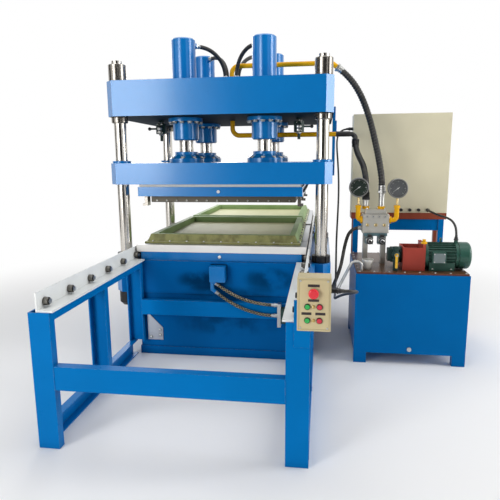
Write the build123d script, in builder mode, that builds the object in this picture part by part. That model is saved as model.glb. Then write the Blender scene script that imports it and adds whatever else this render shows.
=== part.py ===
from build123d import *
import os
from math import radians, tan

# A four-column hydraulic moulding press with heated plates, a two-station shuttle table,
# an oil power unit and an electrical cabinet. Millimetres. The origin is on the floor,
# midway between the four columns, with +X to the right, +Y to the back and +Z up.

os.makedirs("parts", exist_ok=True)

# Shared fits
OVERRUN = 5  # how far a cut runs past the face that it opens
FIT_GAP = 0.3  # room round a piece that is bolted or pressed into its hole
RUN_GAP = 0.08  # radial clearance of a sliding or turning shaft
SIDE_GAP = 0.4  # end clearance of a turning piece

# Columns and their nuts
COLUMN_DIAMETER = 98
COLUMN_NECK = 85  # where the column passes through the crown and its nut
COLUMN_SPAN_X = 1640
COLUMN_SPAN_Y = 1270
COLUMN_TIP = 28  # shows above the top nut
TOP_NUT_DIAMETER = 140
TOP_NUT_HEIGHT = 130
CROWN_NUT_DIAMETER = 130
CROWN_NUT_HEIGHT = 48
BED_NUT_DIAMETER = 150
BED_NUT_HEIGHT = 55
FOOT_NUT_DIAMETER = 150
FOOT_NUT_HEIGHT = 130
FOOT_NUT_BEVEL = 30
NUT_BEVEL = 4
SPANNER_SLOT_WIDTH = 16
SPANNER_SLOT_DEPTH = 9
SPANNER_SLOTS = 6

# The three beams, which share one outline, and the base under the lower one
BEAM_MARGIN_X = 80  # from the columns' axes to the beam's ends
BEAM_MARGIN_Y = 95
BEAM_CORNER = 60
BASE_HEIGHT = 540
BED_HEIGHT = 275
PLATEN_HEIGHT = 170
CROWN_HEIGHT = 274
BASE_INSET_X = 210
BASE_INSET_Y = 10
BASE_SKIRT = 8
BASE_SKIRT_HEIGHT = 70
GUSSET_WIDTH = 131
GUSSET_HEIGHT = 243
GUSSET_NOSE = 108  # height of the gusset's outer edge
GUSSET_THICKNESS = 8
GUSSET_INSET = 62  # from the base's left edge
GUSSET_LIFT = 127

# Stack between the lower beam and the crown
LOWER_PLATE_HEIGHT = 70
CARRIAGE_HEIGHT = 60
TRAY_HEIGHT = 75
DAYLIGHT = 265  # between the tray and the upper mould as shown
MOULD_HEIGHT = 60
UPPER_PLATE_HEIGHT = 75
BOARD_HEIGHT = 22
FLANGE_HEIGHT = 90
ROD_SHOW = 96  # bare rod between its flange and the barrel as shown
HOT_PLATE_INSET_Y = 30  # from the beams' front face
BOARD_INSET = 12  # insulation board inside the hot plate's edge
MOULD_INSET_X = 62  # from the hot plate's edge
MOULD_INSET_Y = 150
BUSH_WALL = 12
BUSH_LIP = 14
BUSH_LIP_HEIGHT = 18

# Main cylinders
CYLINDER_SPAN_X = 676
CYLINDER_SPAN_Y = 756
BARREL_DIAMETER = 200
BARREL_ABOVE = 360  # above the crown
BARREL_BELOW = 183  # below the crown
NOSE_DIAMETER = 216
BARREL_FLANGE_DIAMETER = 292
BARREL_FLANGE_HEIGHT = 30
BARREL_BORE = 150
CAP_HEIGHT = 55
CAP_BEVEL = 10
GLAND_HEIGHT = 60
ROD_DIAMETER = 120
PISTON_HEIGHT = 70
PISTON_LIFT = 320  # from the gland's inner face to the piston's underside
FLANGE_DIAMETER = 292
FLANGE_NECK = 196
FLANGE_RIM = 34
FLANGE_COLLAR = 22
FLANGE_POCKETS = 8
FLANGE_POCKET_DIAMETER = 46
FLANGE_POCKET_CIRCLE = 244

# Oil pipes and cap hoses
PIPE_DIAMETER = 42
PIPE_BEND = 64
MANIFOLD_WIDTH = 150
MANIFOLD_HEIGHT = 70
MANIFOLD_PORT = 50  # from the manifold's centre to each hose, both ways
PRESSURE_PIPE_RISE = 203  # axis above the crown
PRESSURE_PIPE_REACH = 32  # past the beams' right end
PRESSURE_PIPE_DROP = 36  # the end bends down by this
PRESSURE_PIPE_TAIL = 48  # over this length
PRESSURE_PIPE_TAIL_BEND = 60
RETURN_PIPE_DROP = 130  # axis below the crown
RETURN_PIPE_REACH = 205  # past the beams' right end
RETURN_PIPE_TAIL = (-45, -60)  # the end turns to the front and down by this
RETURN_PIPE_TAIL_BEND = 50
CAP_HOSE_DIAMETER = 34
CAP_PORT_DIAMETER = 52
CAP_PORT_LENGTH = 18
CAP_PORT_DROP = 35  # below the cap's top
CAP_HOSE_SHARES = ((0, 0), (0, 0.22), (0.06, 0.48), (0.20, 0.72), (0.42, 0.90), (0.70, 1), (1, 1))

# Limit-switch bar on the crown's right end, and the two bodies under the crown
BAR_WIDTH = 26
BAR_DEPTH = 50
BAR_PLACE_Y = 150
BAR_ABOVE = 120  # above the crown's underside
BAR_BELOW = 500
BAR_STANDOFF = 6
BAR_PAD = 60
SWITCH_WIDTH = 40
SWITCH_DEPTH = 60
SWITCH_HEIGHT = 110
CROWN_VALVE_X = 615
CROWN_VALVE_Y = -190
CROWN_VALVE_WIDTH = 86
CROWN_VALVE_HEIGHT = 92
CROWN_VALVE_NECK = 44
CROWN_VALVE_NECK_HEIGHT = 24
CROWN_VALVE_STEM = 26
CROWN_VALVE_STEM_HEIGHT = 62
CROWN_VALVE_HANDLE = 16
CROWN_VALVE_HANDLE_REACH = 100

# Rails, rollers and carriage
RAIL_TO_NUT = 15  # from the lower lock nuts to the rails' outer faces
RAIL_HEIGHT = 112
RAIL_FOOT = 100
RAIL_THICKNESS = 12
RAIL_END_INSET = 6
ROLLER_WIDTH = 30
ROLLER_DIAMETER = 48
ROLLER_BEVEL = 3
ROLLER_GAP = 0.3  # under the carriage
ROLLER_FIRST = 80  # from the table's outer end to the first roller
ROLLER_PITCH = 278
ROLLERS = 6
STUD_DIAMETER = 20
STUD_HEAD_DIAMETER = 32
STUD_HEAD_HEIGHT = 8
STUD_NUT_SIZE = 30
STUD_NUT_HEIGHT = 14
CARRIAGE_SIDE_GAP = 12  # between the carriage and each rail
CARRIAGE_INSET_Y = 25  # from the beams' front face to the carriage's front
CARRIAGE_EDGE = 4
LOWER_PLATE_STEP = 34  # hot plate narrower than the carriage on each side
TRAY_STEP = 51  # tray flange narrower than the carriage on each side
TRAY_LENGTH = 1415
TRAY_GAP = 10
TRAY_INSET_Y = 65  # from the carriage's front to the front tray
TRAY_FLANGE_HEIGHT = 16
TRAY_FLANGE_LIP = 20
TRAY_WALL = 46
TRAY_FLOOR = 20
TRAY_DRAFT = 22  # degrees
TRAY_POCKET_DRAFT = 8
TRAY_POCKET_CORNER = 14
LINK_LENGTH = 240
LINK_HEIGHT = 12
LINK_INSET = 24

# Hangers at the upper mould's edges
HANGER_WIDTH = 26
HANGER_LENGTH = 70
HANGER_JAW = 18
HANGER_HEIGHT = 86
HANGER_SPACING = 560
HANGERS = 3

# Shuttle cylinder
SHUTTLE_AXIS_DROP = 87  # below the lower beam's top
SHUTTLE_BARREL = 104
SHUTTLE_BORE = 80
SHUTTLE_ROD = 50
SHUTTLE_PISTON = 50
SHUTTLE_CAP = 126
SHUTTLE_CAP_LENGTH = 84
SHUTTLE_CAP_REACH = 88  # front cap past the beam's front face
SHUTTLE_REAR_INSET = 4
SHUTTLE_END_WALL = 30
SHUTTLE_TIE_ROD = 14
SHUTTLE_TIE_SPAN = 96
TUNNEL_SIDE = 136
DRAG_WIDTH = 150
DRAG_THICKNESS = 24
DRAG_BELOW = 50
DRAG_LIMIT_GAP = 20  # left to the lower beam when the rod is home
PORT_X = -46
PORT_DIAMETER = 34
PORT_LOW_DROP = 64  # lower port under the cap block
PORT_SPACING = 72
PORT_ARM = 35
PORT_INSET = 30  # from the cap's front face
PORT_WAY_SHARES = (0.8, 0, -0.6)  # both fittings point right and down

# Front and rear tables, rolled channel
CHANNEL = 126
CHANNEL_FLANGE = 53
CHANNEL_WEB = 6
CHANNEL_LIP = 9
CROSS_CHANNEL = 140
CROSS_FLANGE = 58
TABLE_LIP = 45  # table side outside the rail's outer face
TABLE_LENGTH = 1458
TABLE_GAP = 2
CROSS_BAR_TOP = 503
REAR_BAR_TOP = 492
MID_POST_SHARE = 0.475  # of the table's length, from the press

# Shuttle valve on the rear cross bar
VALVE_PLATE_X = 487
VALVE_PLATE_WIDTH = 28
VALVE_PLATE_DEPTH = 60
VALVE_PLATE_BOTTOM = 318
VALVE_PLATE_TOP = 508
VALVE_BODY_WIDTH = 74
VALVE_BODY_DEPTH = 70
VALVE_BODY_BOTTOM = 352
VALVE_BODY_TOP = 470
VALVE_FITTING = 32
VALVE_FITTING_LENGTH = 20
VALVE_HOSE_TOP = 491
VALVE_HOSE_LOW = 404
VALVE_HOSE_REACH = 26  # hose axes in front of the cross bar
VALVE_FEED_Z = 445
VALVE_FEED_REACH = 45

# Control box
BOX_LEFT = 712
BOX_WIDTH = 162
BOX_DEPTH = 108
BOX_HEIGHT = 265
BOX_WALL = 3
BOX_CORNER = 5
BOX_STANDOFF = 10
BOX_BRACKET_WIDTH = 84
BOX_BRACKET_DROP = 130
BOX_BRACKET_RISE = 120
STOP_X_SHARE = 0.485
STOP_Z_SHARE = 0.72
BUTTON_X_SHARES = (0.305, 0.665)
BUTTON_Z_SHARES = (0.463, 0.206)
STOP_HEAD = 50
STOP_HEAD_HEIGHT = 16
STOP_STEM = 30
STOP_RING = 44
STOP_TRAVEL = 5
BUTTON_CAP = 24
BUTTON_RING = 30
BUTTON_STAND = 11
BUTTON_STEM_LENGTH = 26
RING_HEIGHT = 6
BOX_GLAND = 24
BOX_GLAND_LENGTH = 26
BOX_GLAND_Z_SHARE = 0.72

# Oil tank and lid
TANK_GAP = 198  # from the beams' right end
TANK_WIDTH = 866
TANK_FRONT = -705
TANK_DEPTH = 870
TANK_HEIGHT = 738
TANK_WALL = 5
TANK_RIM = 40  # inward flange that carries the lid
TANK_FOOT_HEIGHT = 88
TANK_FOOT_WIDTH = 100
TANK_FOOT_DEPTH = 60
LID_THICKNESS = 14
LID_INSET = 8
DRAIN_DIAMETER = 34
DRAIN_LENGTH = 16
DRAIN_LIFT = 42  # above the tank's floor
BREATHER_INSET = 100  # from the tank's left side
BREATHER_Y = -579
BREATHER_TOP = 94
BREATHER_FOOT = 52
BREATHER_HEIGHT = 82
BREATHER_RIM = 18
BREATHER_WALL = 5

# Motor, pump bracket and pump
MOTOR_AXIS_Y = -500
MOTOR_AXIS_LIFT = 112  # above the lid
MOTOR_INSET = 542  # from the tank's left side
MOTOR_LENGTH = 262
MOTOR_DIAMETER = 186
MOTOR_FINS = 28
FIN_HEIGHT = 12
FIN_WIDTH = 4
MOTOR_END = 26  # smooth end shield
SHIELD_DIAMETER = 208
FAN_COVER_LENGTH = 92
FAN_COVER_DIAMETER = 216
FAN_COVER_WALL = 4
FAN_COVER_ROUND = 26
FAN_DIAMETER = 184
FAN_BLADES = 8
FAN_BLADE = 5
FAN_LENGTH = 26
FAN_HUB = 62
GRILLE_SLOTS = 12
GRILLE_SLOT = 8
GRILLE_INNER = 40
GRILLE_OUTER = 150
SHAFT_DIAMETER = 34
COUPLING_DIAMETER = 84
COUPLING_LENGTH = 78
MOTOR_FOOT_WIDTH = 46
MOTOR_FOOT_LENGTH = 190
MOTOR_FOOT_SPAN = 150
TERMINAL_WIDTH = 104
TERMINAL_HEIGHT = 92
TERMINAL_DEPTH = 40
TERMINAL_INSET = 46
TERMINAL_CORNER = 8
MOTOR_GLAND = 30
MOTOR_GLAND_HEIGHT = 18
MOTOR_GLAND_INSET = 13  # from the motor frame's right end
BRACKET_INSET = 368  # from the tank's left side
BRACKET_WIDTH = 212
BRACKET_WALL_HEIGHT = 184
BRACKET_PLATE_HEIGHT = 216
BRACKET_PLATE = 24
BRACKET_WALL = 14
BRACKET_BORE = 110
BRACKET_SHAFT_BORE = 60
PUMP_WIDTH = 96
PUMP_HEIGHT = 116
PUMP_LENGTH = 84
PUMP_COVER = 24
PUMP_COVER_INSET = 6
PUMP_FLANGE = 130
PUMP_FLANGE_LENGTH = 14
PUMP_CORNER = 16
BRACKET_PORT_DIAMETER = 26
BRACKET_PORT_HEIGHT = 34
BRACKET_PORT_NUT = 40
BRACKET_PORT_NUT_HEIGHT = 16

# Valve block with its elbows, solenoid valves and gauges
BLOCK_INSET = 62  # from the tank's left side
BLOCK_WIDTH = 216
BLOCK_FRONT = -415
BLOCK_DEPTH = 130
BLOCK_LIFT = 271  # above the lid
BLOCK_HEIGHT = 194
BLOCK_CAP_HEIGHT = 40
BLOCK_CAP_INSET = 20
BLOCK_LEG = 40
BLOCK_LEG_INSET = 14
ELBOW_DIAMETER = 40
ELBOW_BEND = 30
ELBOW_LEFT_REACH = 37
ELBOW_RIGHT_REACH = 59
ELBOW_DROP = 46  # below the block's top
ELBOW_RISE = 119
ELBOW_INSET = 26  # from the block's front face
NIPPLE_DIAMETER = 46
NIPPLE_INSET = 45  # from the block's back face
RETURN_NIPPLE_INSET = 28  # from the block's left face
RETURN_NIPPLE_HEIGHT = 78
PRESSURE_NIPPLE_INSET = 156
PRESSURE_NIPPLE_HEIGHT = 134
SOLENOID_WIDTH = 62
SOLENOID_HEIGHT = 70
SOLENOID_DEPTH = 76
SOLENOID_LIFT = 178  # above the lid
SOLENOID_SHARES = (0.27, 0.73)  # across the block
COIL_DIAMETER = 52
COIL_LENGTH = 60
COIL_CAP = 22
COIL_CAP_LENGTH = 14
GAUGE_DIAMETER = 160
GAUGE_DEPTH = 48
GAUGE_RIM = 8
GAUGE_RECESS = 6
GAUGE_STEM = 18
GAUGE_LEFT_RISE = 70  # stem above the left elbow
GAUGE_RIGHT_RISE = 62

# Ball valve
BALL_INSET = 314  # from the tank's left side
BALL_Y = -610
BALL_LIFT = 130  # axis above the lid
BALL_DIAMETER = 62
BALL_PIPE = 40
BALL_NUT = 54
BALL_NUT_HEIGHT = 22
BALL_TOP = 62  # pipe above the ball's centre
BALL_NECK = 30
BALL_NECK_LENGTH = 44
BALL_STEM = 14
BALL_STEM_LENGTH = 24
LEVER_LENGTH = 104
LEVER_WIDTH = 20
LEVER_THICKNESS = 6
LEVER_HUB = 30

# Electrical cabinet and stand
CABINET_STEP = 2  # from the tank's left side
CABINET_WIDTH = 870
CABINET_FRONT = 200
CABINET_DEPTH = 230
CABINET_HEIGHT = 905
CABINET_WALL = 3
STAND_HEIGHT = 1130
STAND_RAIL_HEIGHT = 60
STAND_LEG = 50
STAND_LEG_INSET = 20
STAND_APRON_HEIGHT = 105
STAND_APRON = 4
STAND_TIE_HEIGHT = 50
STAND_TIE_LIFT = 160
STAND_SETBACK = 8
DOOR_THICKNESS = 20
DOOR_WALL = 3
DOOR_GAP = 2
HINGE_DIAMETER = 16
HINGE_LENGTH = 60
HINGE_PIN = 8
HINGE_INSET = 130  # from the cabinet's top and bottom
HINGE_IN = 8  # axis inside the cabinet's right face
HINGE_LEAF = 4
HINGE_LEAF_WIDTH = 40
LATCH_DIAMETER = 26
LATCH_HEIGHT = 14
PLATE_INSET = 60
PLATE_THICKNESS = 4
PLATE_STANDOFF = 30
PLATE_BOSS = 24
GEAR_WIDTH = 60
GEAR_HEIGHT = 90
GEAR_DEPTH = 80
GEAR_PITCH = 96
GEARS = 6
GEAR_ROW_SHARE = 0.14  # of the cabinet's height, above and below its middle
GLAND_DIAMETER = 28
GLAND_LENGTH = 26
GLAND_LIFT = 28
GLAND_INSET = 299  # from the cabinet's left side
GLAND_PITCH = 79
GLAND_PLACES = (0, 2, 3, 4, 5)
SIDE_GLAND_LIFT = 780
SIDE_GLAND_INSET = 100

# Drain pipe between the press and the tank lid
DRAIN_PIPE_DIAMETER = 22
DRAIN_PIPE_BEND = 34
DRAIN_PIPE_Y = -640
DRAIN_PIPE_LOW = 590
DRAIN_PIPE_STUB = 60
DRAIN_PIPE_RISE = 70
DRAIN_PIPE_INSET = 40  # from the lid's left edge
DRAIN_PIPE_LEVEL = 76  # level run above the lid

# Free hoses and cables: diameters and routes
HOSE_DIAMETER = 50
SHUTTLE_HOSE_DIAMETER = 24
FEED_HOSE_DIAMETER = 28
CABLE_DIAMETER = 16
MOTOR_CABLE_DIAMETER = 18
ROUTE_BEAM_END = 900  # the beams' right end that the routes are laid out for
CORD_ARC_SHARE = 0.45  # of the shorter run beside a bend
PRESSURE_ROUTE = (
    (932, 0, 2422), (968, 0, 2395), (1029, -7, 2340), (1084, -27, 2271), (1135, -61, 2182), (1180, -104, 2072),
    (1219, -146, 1949), (1253, -188, 1813), (1279, -233, 1686), (1301, -287, 1564), (1313, -320, 1472),
    (1316, -330, 1396), (1316, -330, 1351),
)
RETURN_ROUTE = (
    (1105, -45, 1791), (1105, -69, 1759), (1112, -111, 1706), (1128, -158, 1660), (1147, -206, 1618),
    (1164, -252, 1576), (1176, -284, 1524), (1184, -307, 1466), (1187, -322, 1406), (1188, -330, 1345),
    (1188, -330, 1295),
)
SHUTTLE_UPPER_ROUTE = (
    (-18, -788, 652), (10, -788, 631), (60, -791, 599), (116, -799, 569), (176, -808, 543), (234, -812, 523),
    (299, -813, 507), (370, -811, 495), (431, -811, 491), (467, -811, 491),
)
SHUTTLE_LOWER_ROUTE = (
    (-18, -788, 580), (10, -788, 559), (61, -791, 523), (120, -800, 489), (180, -808, 461), (239, -812, 440),
    (305, -812, 421), (374, -811, 408), (431, -811, 404), (467, -811, 404),
)
FEED_ROUTE = (
    (1160, -372, 1060), (1122, -372, 1060), (1084, -374, 1046), (1055, -379, 1018), (1038, -388, 979),
    (1024, -404, 930), (1012, -432, 878), (1001, -471, 823), (985, -527, 757), (962, -583, 700), (937, -639, 648),
    (912, -692, 602), (885, -741, 560), (856, -781, 525), (815, -811, 496), (765, -826, 472), (712, -830, 456),
    (668, -830, 447), (636, -830, 445), (609, -830, 445),
)
PENDANT_ROUTE = (
    (1074, 300, 1910), (1046, 300, 1910), (1001, 292, 1900), (970, 267, 1870), (955, 234, 1829), (950, 193, 1777),
    (953, 132, 1696), (962, 47, 1580), (968, -39, 1446), (968, -121, 1306), (962, -203, 1163), (955, -285, 1033),
    (950, -371, 920), (948, -460, 826), (946, -551, 753), (943, -649, 701), (939, -756, 670), (934, -877, 656),
    (929, -1010, 657), (924, -1153, 674), (919, -1303, 704), (918, -1455, 744), (922, -1605, 792),
    (935, -1752, 843), (958, -1896, 894), (988, -2026, 937), (1002, -2109, 962), (1004, -2164, 979),
    (995, -2210, 993), (967, -2243, 1003), (928, -2254, 1005.8), (900, -2254, 1005.8),
)
MOTOR_CABLE_ROUTE = (
    (1794, 174, 1158), (1794, 136, 1158), (1799, 69, 1156), (1812, -3, 1150), (1829, -79, 1144), (1845, -154, 1141),
    (1857, -231, 1141), (1868, -307, 1138), (1876, -376, 1130), (1882, -432, 1114), (1886, -470, 1091),
    (1888, -492, 1062), (1889, -500, 1024), (1889, -500, 986),
)

# Heights and half-widths that follow from the sizes above
BASE_UP = (Align.CENTER, Align.CENTER, Align.MIN)
UPRIGHT = (0, 0, 0)
ALONG_X = (0, 90, 0)
ALONG_Y = (-90, 0, 0)
TOWARDS_FRONT = (90, 0, 0)
TOWARDS_LEFT = (0, -90, 0)
RIGHT, BACK, UP = (1, 0, 0), (0, 1, 0), (0, 0, 1)
LEFT, DOWN = (-1, 0, 0), (0, 0, -1)

beam_width = COLUMN_SPAN_X + 2 * BEAM_MARGIN_X
beam_depth = COLUMN_SPAN_Y + 2 * BEAM_MARGIN_Y
beam_front = -beam_depth / 2
beam_end = beam_width / 2
bed_top = BASE_HEIGHT + BED_HEIGHT
lower_plate_top = bed_top + LOWER_PLATE_HEIGHT
carriage_top = lower_plate_top + CARRIAGE_HEIGHT
tray_top = carriage_top + TRAY_HEIGHT
mould_bottom = tray_top + DAYLIGHT
upper_plate_bottom = mould_bottom + MOULD_HEIGHT
board_bottom = upper_plate_bottom + UPPER_PLATE_HEIGHT
platen_bottom = board_bottom + BOARD_HEIGHT
platen_top = platen_bottom + PLATEN_HEIGHT
flange_top = platen_top + FLANGE_HEIGHT
nose_bottom = flange_top + ROD_SHOW
crown_bottom = nose_bottom + BARREL_BELOW
crown_top = crown_bottom + CROWN_HEIGHT
cap_top = crown_top + BARREL_ABOVE
rail_outer = COLUMN_SPAN_X / 2 - BED_NUT_DIAMETER / 2 - RAIL_TO_NUT
rail_inner = rail_outer - RAIL_THICKNESS
carriage_half = rail_inner - CARRIAGE_SIDE_GAP
hot_plate_half = carriage_half - LOWER_PLATE_STEP
hot_plate_depth = beam_depth - 2 * HOT_PLATE_INSET_Y
carriage_front = beam_front + CARRIAGE_INSET_Y
tray_front = carriage_front + TRAY_INSET_Y
tray_pitch = TRAY_LENGTH + TRAY_GAP
tray_half = carriage_half - TRAY_STEP
carriage_split = tray_front + TRAY_LENGTH + TRAY_GAP / 2
carriage_rear = tray_front + 2 * tray_pitch
table_half = rail_outer + TABLE_LIP
table_near = beam_front - TABLE_GAP
table_front = table_near - TABLE_LENGTH
unit_shift = beam_end - ROUTE_BEAM_END
tank_left = beam_end + TANK_GAP
motor_left = tank_left + MOTOR_INSET
bracket_left = tank_left + BRACKET_INSET
block_left = tank_left + BLOCK_INSET
ball_x = tank_left + BALL_INSET
cabinet_left = tank_left + CABINET_STEP
pressure_pipe_end = beam_end + PRESSURE_PIPE_REACH
return_pipe_end = beam_end + RETURN_PIPE_REACH


def block(x, y, z, mode=Mode.ADD):
    """A plain block between the low and high ends given for each axis."""
    with Locations((sum(x) / 2, sum(y) / 2, sum(z) / 2)):
        Box(x[1] - x[0], y[1] - y[0], z[1] - z[0], mode=mode)


def round_bar(diameter, start, length, turn=UPRIGHT, mode=Mode.ADD):
    """A round bar from start, upright unless it is turned."""
    with Locations(start):
        Cylinder(diameter / 2, length, rotation=turn, align=BASE_UP, mode=mode)


def pipe(points, diameter, radius):
    """A round pipe along straight runs with bends of the given radius or radii."""
    with BuildPart() as tube:
        with BuildLine() as path:
            FilletPolyline(points, radius=radius)
        with BuildSketch(Plane(path.line @ 0, z_dir=path.line % 0)):
            Circle(diameter / 2)
        sweep(path=path.line)
    return tube.part


def cord(name, points, diameter):
    """A hose or cable: each bend is as wide as the runs beside it allow."""
    places = [Vector(point) for point in points]
    runs = [after - before for before, after in zip(places, places[1:])]
    radii = []
    for before, after in zip(runs, runs[1:]):
        half_turn = radians(before.get_angle(after)) / 2
        radii.append(CORD_ARC_SHARE * min(before.length, after.length) / tan(half_turn))
    print(name, "bend radii over diameter:", [round(radius / diameter, 1) for radius in radii])
    return pipe(places, diameter, radii)


def shifted(route, first, last):
    """A route with its ends moved along X by first and last, and the points between in proportion."""
    runs = len(route) - 1
    return [(x + first + (last - first) * step / runs, y, z) for step, (x, y, z) in enumerate(route)]


def channel(origin, across, along, web, flange, length):
    """A rolled channel: the web spreads from origin towards across and runs towards along."""
    with BuildPart() as section:
        with BuildSketch(Plane(origin=origin, x_dir=across, z_dir=along)):
            with Locations((web / 2, flange / 2)):
                Rectangle(web, flange)
            with Locations((web / 2, (CHANNEL_WEB + flange) / 2)):
                Rectangle(web - 2 * CHANNEL_LIP, flange - CHANNEL_WEB, mode=Mode.SUBTRACT)
        extrude(amount=length)
    return section.part


def ring_nut(diameter, bore, height, bevel):
    """A round nut that stands on the floor plane, with spanner slots round it."""
    with BuildPart() as nut:
        Cylinder(diameter / 2, height, align=BASE_UP)
        chamfer(nut.edges().filter_by(GeomType.CIRCLE), bevel)
        with PolarLocations(diameter / 2, SPANNER_SLOTS):
            Box(2 * SPANNER_SLOT_DEPTH, SPANNER_SLOT_WIDTH, height, align=BASE_UP, mode=Mode.SUBTRACT)
        Cylinder(bore / 2, height, align=BASE_UP, mode=Mode.SUBTRACT)
    return nut.part


def at_heights(piece, low):
    """The same piece at each of the four columns, standing at the height low."""
    with BuildPart() as four:
        with GridLocations(COLUMN_SPAN_X, COLUMN_SPAN_Y, 2, 2):
            with Locations((0, 0, low)):
                add(piece)
    return four.part


# Base frame: a closed box with a skirt at the floor, and a bare steel gusset on its front
base_width = beam_width - 2 * BASE_INSET_X
base_depth = beam_depth - 2 * BASE_INSET_Y
with BuildPart() as base_box:
    with BuildSketch():
        Rectangle(base_width, base_depth)
    extrude(amount=BASE_HEIGHT)
    with BuildSketch():
        Rectangle(base_width + 2 * BASE_SKIRT, base_depth + 2 * BASE_SKIRT)
    extrude(amount=BASE_SKIRT_HEIGHT)

with BuildPart() as gusset:
    with BuildSketch(Plane.XZ.offset(base_depth / 2)) as gusset_outline:
        with Locations((GUSSET_INSET - base_width / 2, GUSSET_LIFT)):
            Polygon(
                (0, 0), (GUSSET_WIDTH, 0), (GUSSET_WIDTH, GUSSET_NOSE), (0, GUSSET_HEIGHT),
                align=(Align.MIN, Align.MIN),
            )
    extrude(amount=GUSSET_THICKNESS)

base_frame = Compound([base_box.part, gusset.part], label="base_frame")
export_step(base_frame, "parts/base_frame.step")

# Lower beam, with the shuttle cylinder's tunnel through it
shuttle_z = bed_top - SHUTTLE_AXIS_DROP
with BuildPart() as lower_beam:
    with BuildSketch(Plane.XY.offset(BASE_HEIGHT)) as bed_outline:
        Rectangle(beam_width, beam_depth)
        chamfer(bed_outline.vertices(), BEAM_CORNER)
        with GridLocations(COLUMN_SPAN_X, COLUMN_SPAN_Y, 2, 2):
            Circle(COLUMN_DIAMETER / 2 + FIT_GAP, mode=Mode.SUBTRACT)
    extrude(amount=BED_HEIGHT)
    with Locations((0, 0, shuttle_z)):
        Box(TUNNEL_SIDE, beam_depth + 2 * OVERRUN, TUNNEL_SIDE, mode=Mode.SUBTRACT)
lower_beam.part.label = "lower_beam"
export_step(lower_beam.part, "parts/lower_beam.step")

# Crown
with BuildPart() as crown:
    with BuildSketch(Plane.XY.offset(crown_bottom)) as crown_outline:
        Rectangle(beam_width, beam_depth)
        chamfer(crown_outline.vertices(), BEAM_CORNER)
        with GridLocations(COLUMN_SPAN_X, COLUMN_SPAN_Y, 2, 2):
            Circle(COLUMN_NECK / 2 + FIT_GAP, mode=Mode.SUBTRACT)
        with GridLocations(CYLINDER_SPAN_X, CYLINDER_SPAN_Y, 2, 2):
            Circle(BARREL_DIAMETER / 2 + FIT_GAP, mode=Mode.SUBTRACT)
    extrude(amount=CROWN_HEIGHT)
crown.part.label = "crown"
export_step(crown.part, "parts/crown.step")

# Columns, turned down where they pass through the crown
column_foot = BASE_HEIGHT - FOOT_NUT_HEIGHT
column_tip = crown_top + TOP_NUT_HEIGHT + COLUMN_TIP
with BuildPart() as columns:
    with GridLocations(COLUMN_SPAN_X, COLUMN_SPAN_Y, 2, 2):
        round_bar(COLUMN_DIAMETER, (0, 0, column_foot), crown_bottom - column_foot)
        round_bar(COLUMN_NECK, (0, 0, crown_bottom), column_tip - crown_bottom)
columns.part.label = "columns"
export_step(columns.part, "parts/columns.step")

# Nuts: bright above and below the crown, black above and below the lower beam
neck_bore = COLUMN_NECK + 2 * FIT_GAP
column_bore = COLUMN_DIAMETER + 2 * FIT_GAP
with BuildPart() as foot_nut:
    Cylinder(FOOT_NUT_DIAMETER / 2, FOOT_NUT_HEIGHT, align=BASE_UP)
    chamfer(foot_nut.edges().filter_by(GeomType.CIRCLE).sort_by(Axis.Z)[0], FOOT_NUT_BEVEL)
    Cylinder(column_bore / 2, FOOT_NUT_HEIGHT, align=BASE_UP, mode=Mode.SUBTRACT)

column_nuts = Compound(
    [
        at_heights(ring_nut(TOP_NUT_DIAMETER, neck_bore, TOP_NUT_HEIGHT, NUT_BEVEL), crown_top),
        at_heights(
            ring_nut(CROWN_NUT_DIAMETER, column_bore, CROWN_NUT_HEIGHT, NUT_BEVEL),
            crown_bottom - CROWN_NUT_HEIGHT,
        ),
        at_heights(ring_nut(BED_NUT_DIAMETER, column_bore, BED_NUT_HEIGHT, NUT_BEVEL), bed_top),
        at_heights(foot_nut.part, column_foot),
    ],
    label="column_nuts",
)
export_step(column_nuts, "parts/column_nuts.step")

# Main cylinders: a hollow barrel through the crown, its flange under it, and a cap with a side port
port_start = Vector(MANIFOLD_PORT, MANIFOLD_PORT, crown_top + MANIFOLD_HEIGHT)
port_z = cap_top - CAP_PORT_DROP
cylinder_axis = Vector(CYLINDER_SPAN_X / 2, CYLINDER_SPAN_Y / 2, port_z)
port_way = Vector(cylinder_axis.X - port_start.X, cylinder_axis.Y - port_start.Y, 0).normalized()
port_end = cylinder_axis - port_way * (BARREL_DIAMETER / 2 + CAP_PORT_LENGTH)
with BuildPart() as barrel:
    with Locations((cylinder_axis.X, cylinder_axis.Y, 0)):
        round_bar(BARREL_DIAMETER, (0, 0, crown_bottom), cap_top - crown_bottom)
        round_bar(NOSE_DIAMETER, (0, 0, nose_bottom), BARREL_BELOW)
    barrel_ends = barrel.edges().filter_by(GeomType.CIRCLE).sort_by(Axis.Z)
    chamfer([barrel_ends[0], barrel_ends[-1]], CAP_BEVEL)
    with Locations((cylinder_axis.X, cylinder_axis.Y, 0)):
        round_bar(BARREL_FLANGE_DIAMETER, (0, 0, crown_bottom - BARREL_FLANGE_HEIGHT), BARREL_FLANGE_HEIGHT)
    with BuildSketch(Plane(port_end, z_dir=port_way)):
        Circle(CAP_PORT_DIAMETER / 2)
    extrude(amount=CAP_PORT_LENGTH + BARREL_DIAMETER / 4)
    with Locations((cylinder_axis.X, cylinder_axis.Y, 0)):
        bore_bottom = nose_bottom + GLAND_HEIGHT
        round_bar(BARREL_BORE, (0, 0, bore_bottom), cap_top - CAP_HEIGHT - bore_bottom, mode=Mode.SUBTRACT)
        round_bar(ROD_DIAMETER + 2 * RUN_GAP, (0, 0, nose_bottom), GLAND_HEIGHT, mode=Mode.SUBTRACT)

with BuildPart() as main_cylinders:
    add(barrel.part)
    mirror(about=Plane.YZ)
    mirror(about=Plane.XZ)
main_cylinders.part.label = "main_cylinders"
export_step(main_cylinders.part, "parts/main_cylinders.step")

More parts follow.
